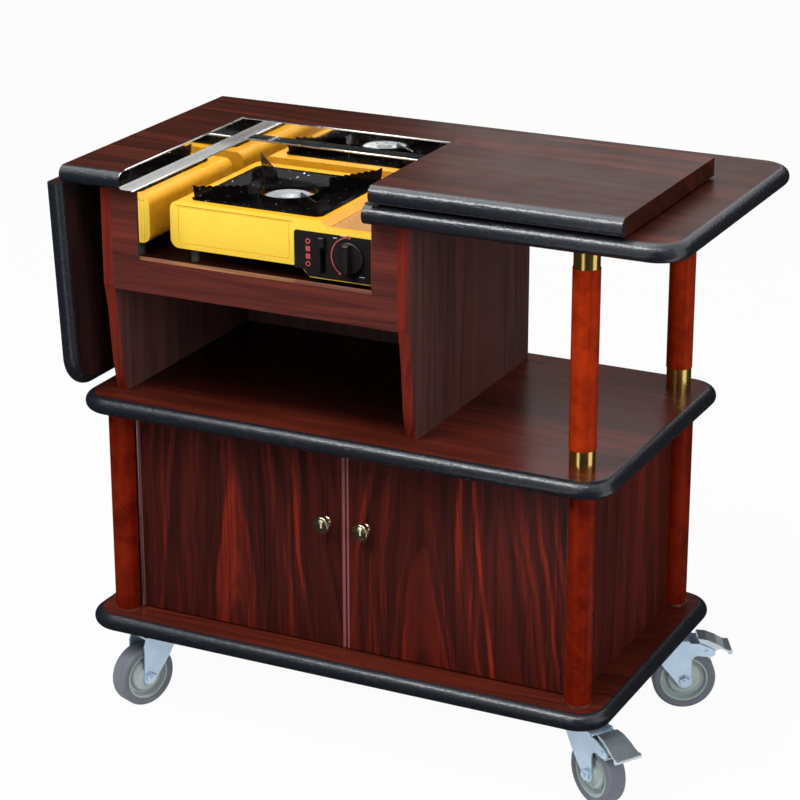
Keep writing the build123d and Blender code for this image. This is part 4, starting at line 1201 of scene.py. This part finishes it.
@dataclass
class Stove(SubAssembly):
    """The portable stove in its well.

    Each tick has X and Z from the middle of the dial, width, height and corner radius.
    """

    dressed = (
        (YELLOW, "stove_body"), (SHADED_GAS_COVER, "gas_cover"), (BURNER, "burner_head"),
        (BLACK_PANEL, "control_panel", "gas_dial", "lock_lever"),
        (BLACK_ENAMEL, "pan_tray", "pan_prongs"), (FOOT, "stove_feet"),
    )
    casing_front: float = -160.0
    panel_front: float = -161.0
    print_t: float = 0.12
    dial_x: float = -4.3
    dial_z: float = 779.4
    arc_r: float = 30.2
    arc_w: float = 1.5
    arc_ends: tuple[float, float] = (92.0, 237.0)
    dot_r: float = 2.6
    mark_x: float = -73.0
    mark_levels: tuple[float, ...] = (796.0, 784.5, 773.0, 761.5)
    mark_width: float = 8.0
    ring_half: float = 178.0
    block_share: float = 0.38
    block_corner: float = 0.8
    ticks: tuple[tuple[float, ...], ...] = (
        (-24.0, 27.0, 6.0, 1.2, 0.5), (20.0, -27.0, 9.0, 1.0, 0.4), (-10.0, 31.5, 9.0, 1.0, 0.4),
    )
    seam_left: float = -298.0
    seam_right: float = -98.0
    seam_z: float = 822.5
    seam_w: float = 0.9
    seam_corner: float = 0.4

    def build(self) -> None:
        """Dresses the stove, prints the marks on its panel and draws the casing's seam."""
        super().build()
        self.print_arc()
        self.print_marks()
        self.print_ticks()
        self.draw_seam()

    def put_print(
        self, name: str, outlines: Sequence[Outline], finish: Finish, face: float
    ) -> None:
        """Puts thin print on a front of the stove.

        Args:
            name: Name of the piece.
            outlines: Closed outlines in X and Z.
            finish: Finish of the print.
            face: Y of the front.
        """
        form = Form()
        for outline in outlines:
            form.plate(outline, face - self.print_t, face + self.print_t)
        self.add_piece(name, form, finish, STOVE_BODY)

    def print_arc(self) -> None:
        """Red arc round the left of the dial, with a dot at each end."""
        outlines = [Form.band(self.dial_x, self.dial_z, self.arc_r, self.arc_w, *self.arc_ends)]
        for angle in self.arc_ends:
            x = self.dial_x + self.arc_r * math.cos(math.radians(angle))
            z = self.dial_z + self.arc_r * math.sin(math.radians(angle))
            outlines.append(Form.rounded(x, z, 2 * self.dot_r, 2 * self.dot_r, self.dot_r))
        self.put_print("dial_arc", outlines, RED_MARK, self.panel_front)

    def print_marks(self) -> None:
        """Column of plain red marks beside the lever: a ring, two pairs of blocks and a ring."""
        outlines = []
        radius = self.mark_width / 2 - self.arc_w / 2
        block = (self.mark_width * self.block_share, self.mark_width, self.block_corner)
        for level in self.mark_levels:
            if level in (self.mark_levels[0], self.mark_levels[-1]):
                for start in (0.0, 180.0):
                    ends = (start, start + self.ring_half)
                    outlines.append(Form.band(self.mark_x, level, radius, self.arc_w, *ends))
            else:
                for side in (-1, 1):
                    x = self.mark_x + side * self.mark_width / 4
                    outlines.append(Form.rounded(x, level, *block))
        self.put_print("lever_marks", outlines, RED_MARK, self.panel_front)

    def print_ticks(self) -> None:
        """White ticks above the arc and a short line under the dial."""
        outlines = [
            Form.rounded(self.dial_x + x, self.dial_z + z, *size) for x, z, *size in self.ticks
        ]
        self.put_print("panel_ticks", outlines, WHITE_MARK, self.panel_front)

    def draw_seam(self) -> None:
        """Thin brown seam where the casing's top sheet folds over its front."""
        middle = (self.seam_left + self.seam_right) / 2
        length = self.seam_right - self.seam_left
        outline = Form.rounded(middle, self.seam_z, length, self.seam_w, self.seam_corner)
        self.put_print("casing_seam", [outline], SEAM, self.casing_front)


# Light, backdrop and camera


@dataclass(frozen=True)
class Lamp:
    """Soft lamp that faces the middle of the cart, in metres and watts."""

    name: str
    place: Point
    size: tuple[float, float]
    power: float
    aim: Point = (0.0, 0.0, 0.5)

    def hang(self) -> None:
        """Adds the lamp to the scene."""
        light = bpy.data.lights.new(self.name, "AREA")
        light.shape = "RECTANGLE"
        light.size, light.size_y = self.size
        light.energy = self.power
        lamp = link_object(self.name, light)
        lamp.location = self.place
        lamp.rotation_mode = "QUATERNION"
        way = Vector(self.aim) - Vector(self.place)
        lamp.rotation_quaternion = way.to_track_quat("-Z", "Y")


@dataclass
class Studio:
    """White studio with soft lamps and black flags, and the camera of the photograph.

    Sizes are in metres and angles in degrees, but the camera's target is in working millimetres.
    Each wall of the flags has its first azimuth, its last azimuth and its height.
    """

    target: Point = (-2.0, -1.0, 507.5)
    distance: float = 4.0567
    azimuth: float = 26.2
    elevation: float = 20.13
    roll: float = -0.07
    lens: float = 118.7
    sensor: float = 36.0
    clip: tuple[float, float] = (0.05, 60.0)
    lamps: tuple[Lamp, ...] = (
        Lamp("key", (-1.3, -2.5, 3.4), (1.8, 1.8), 92.0),
        Lamp("fill", (3.0, -1.8, 1.6), (1.6, 1.6), 42.0),
        Lamp("top", (-0.8, 0.3, 3.1), (2.2, 2.2), 30.0),
        Lamp("strip", (0.0, -1.3, 2.6), (2.6, 0.5), 28.0),
    )
    room: float = 0.40
    floor_size: float = 12.0
    floor_colour: tuple[float, ...] = (0.6, 0.6, 0.6, 1.0)
    floor_share: float = 0.96
    flag_radius: float = 1.6
    flag_foot: float = 0.135
    flag_disc: float = 0.6
    flag_middle: float = 0.01
    flag_light: float = 0.03
    flag_step: int = 4
    flag_walls: tuple[tuple[int, int, float], ...] = (
        (-155, -5, 2.2), (12, 72, 2.2), (100, 170, 1.45), (170, 205, 1.15),
    )

    def build(self) -> None:
        """Makes the world, floor, flags, lamps and camera."""
        self.make_world()
        self.make_floor()
        self.make_flags()
        for lamp in self.lamps:
            lamp.hang()
        self.make_camera()

    @staticmethod
    def seen_directly(tree: Tree) -> Socket:
        """Share of 1 for camera and mirror rays, and 0 for the light that falls on the cart."""
        rays = tree.add("ShaderNodeLightPath").outputs
        return tree.math("MAXIMUM", rays["Is Camera Ray"], rays["Is Glossy Ray"])

    def make_world(self) -> None:
        """White to the camera and in reflections, softer as light."""
        world = bpy.data.worlds.new("studio")
        bpy.context.scene.world = world
        tree = Tree.emptied(world)
        background = tree.add("ShaderNodeBackground")
        output = tree.add("ShaderNodeOutputWorld")
        background.inputs["Color"].default_value = (1.0, 1.0, 1.0, 1.0)
        strength = tree.lerp(self.seen_directly(tree), self.room, 1.0)
        tree.feed(background.inputs["Strength"], strength)
        tree.feed(output.inputs["Surface"], background.outputs[0])

    @staticmethod
    def blend(tree: Tree, share: Socket, first: bpy.types.Node, second: bpy.types.Node) -> None:
        """Gives a stage material a blend of two shaders.

        Args:
            tree: Tree of the material.
            share: How much of the second shader shows.
            first: First shader.
            second: Second shader.
        """
        both = tree.add("ShaderNodeMixShader")
        for target, value in zip(both.inputs, (share, first.outputs[0], second.outputs[0])):
            tree.feed(target, value)
        tree.feed(tree.add("ShaderNodeOutputMaterial").inputs["Surface"], both.outputs[0])

    def make_floor(self) -> None:
        """Wide pale floor that looks white and keeps the cart's shadow."""
        form = Form()
        bmesh.ops.create_grid(form.mesh, x_segments=2, y_segments=2, size=self.floor_size)
        material = bpy.data.materials.new("white_floor")
        tree = Tree.emptied(material)
        paint = tree.add("ShaderNodeBsdfDiffuse")
        paint.inputs["Color"].default_value = self.floor_colour
        share = tree.times(self.seen_directly(tree), self.floor_share)
        self.blend(tree, share, paint, tree.add("ShaderNodeEmission"))
        form.to_object("floor", material)

    @staticmethod
    def flag_point(azimuth: float, radius: float, height: float) -> Vector:
        """Point of the flags, at an azimuth from the front towards the right."""
        turn = math.radians(azimuth)
        return Vector((math.sin(turn) * radius, -math.cos(turn) * radius, height))

    def add_sector(
        self, form: Form, start: int, end: int, near: tuple[float, float], far: tuple[float, float]
    ) -> None:
        """Strip between two circles about the cart.

        Args:
            form: Form that it is added to.
            start: First azimuth.
            end: Last azimuth.
            near: Radius and height of the first circle.
            far: Radius and height of the second circle.
        """
        count = max(2, (end - start) // self.flag_step)
        for index in range(count):
            low = start + (end - start) * index / count
            high = start + (end - start) * (index + 1) / count
            corners = [
                self.flag_point(low, *near), self.flag_point(high, *near),
                self.flag_point(high, *far), self.flag_point(low, *far),
            ]
            form.mesh.faces.new([form.mesh.verts.new(corner) for corner in corners])

    def make_flags(self) -> None:
        """Black flags round the cart and under it, seen in reflections only, with bright gaps."""
        form = Form()
        rim = (self.flag_radius, self.flag_foot)
        disc = (self.flag_disc, self.flag_foot)
        for start, end, height in self.flag_walls:
            self.add_sector(form, start, end, rim, (self.flag_radius, height))
            self.add_sector(form, start, end, disc, rim)
        self.add_sector(form, 0, 360, (self.flag_middle, self.flag_foot), disc)
        material = bpy.data.materials.new("black_flag")
        tree = Tree.emptied(material)
        glow = tree.add("ShaderNodeEmission")
        glow.inputs["Strength"].default_value = self.flag_light
        glossy = tree.add("ShaderNodeLightPath").outputs["Is Glossy Ray"]
        self.blend(tree, glossy, tree.add("ShaderNodeBsdfTransparent"), glow)
        form.to_object("flags", material)

    def make_camera(self) -> None:
        """Camera at the photograph's angle and distance."""
        data = bpy.data.cameras.new("camera")
        data.lens = self.lens
        data.sensor_width = self.sensor
        data.clip_start, data.clip_end = self.clip
        camera = link_object("camera", data)
        turn, rise = math.radians(self.azimuth), math.radians(self.elevation)
        flat = math.cos(rise)
        back = Vector((math.sin(turn) * flat, -math.cos(turn) * flat, math.sin(rise)))
        camera.location = Place.at(*self.target) + back * self.distance
        camera.rotation_mode = "QUATERNION"
        rolled = Matrix.Rotation(math.radians(self.roll), 4, "Z").to_quaternion()
        camera.rotation_quaternion = (-back).to_track_quat("-Z", "Y") @ rolled
        bpy.context.scene.camera = camera


def main(frame: dict) -> None:
    """Dresses the whole cart and sets the studio.
    """
    Place.read_from_base()
    for assembly in (Boards, Flaps, Posts, LowerCabinet, UpperCabinet, Casters, Stove):
        assembly(frame).build()
    Studio().build()
    bpy.context.scene.view_settings.view_transform = "Standard"


if __name__ == "__main__":
    logging.basicConfig(level=logging.INFO, format="%(name)s: %(message)s")
    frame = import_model()
    main(frame)
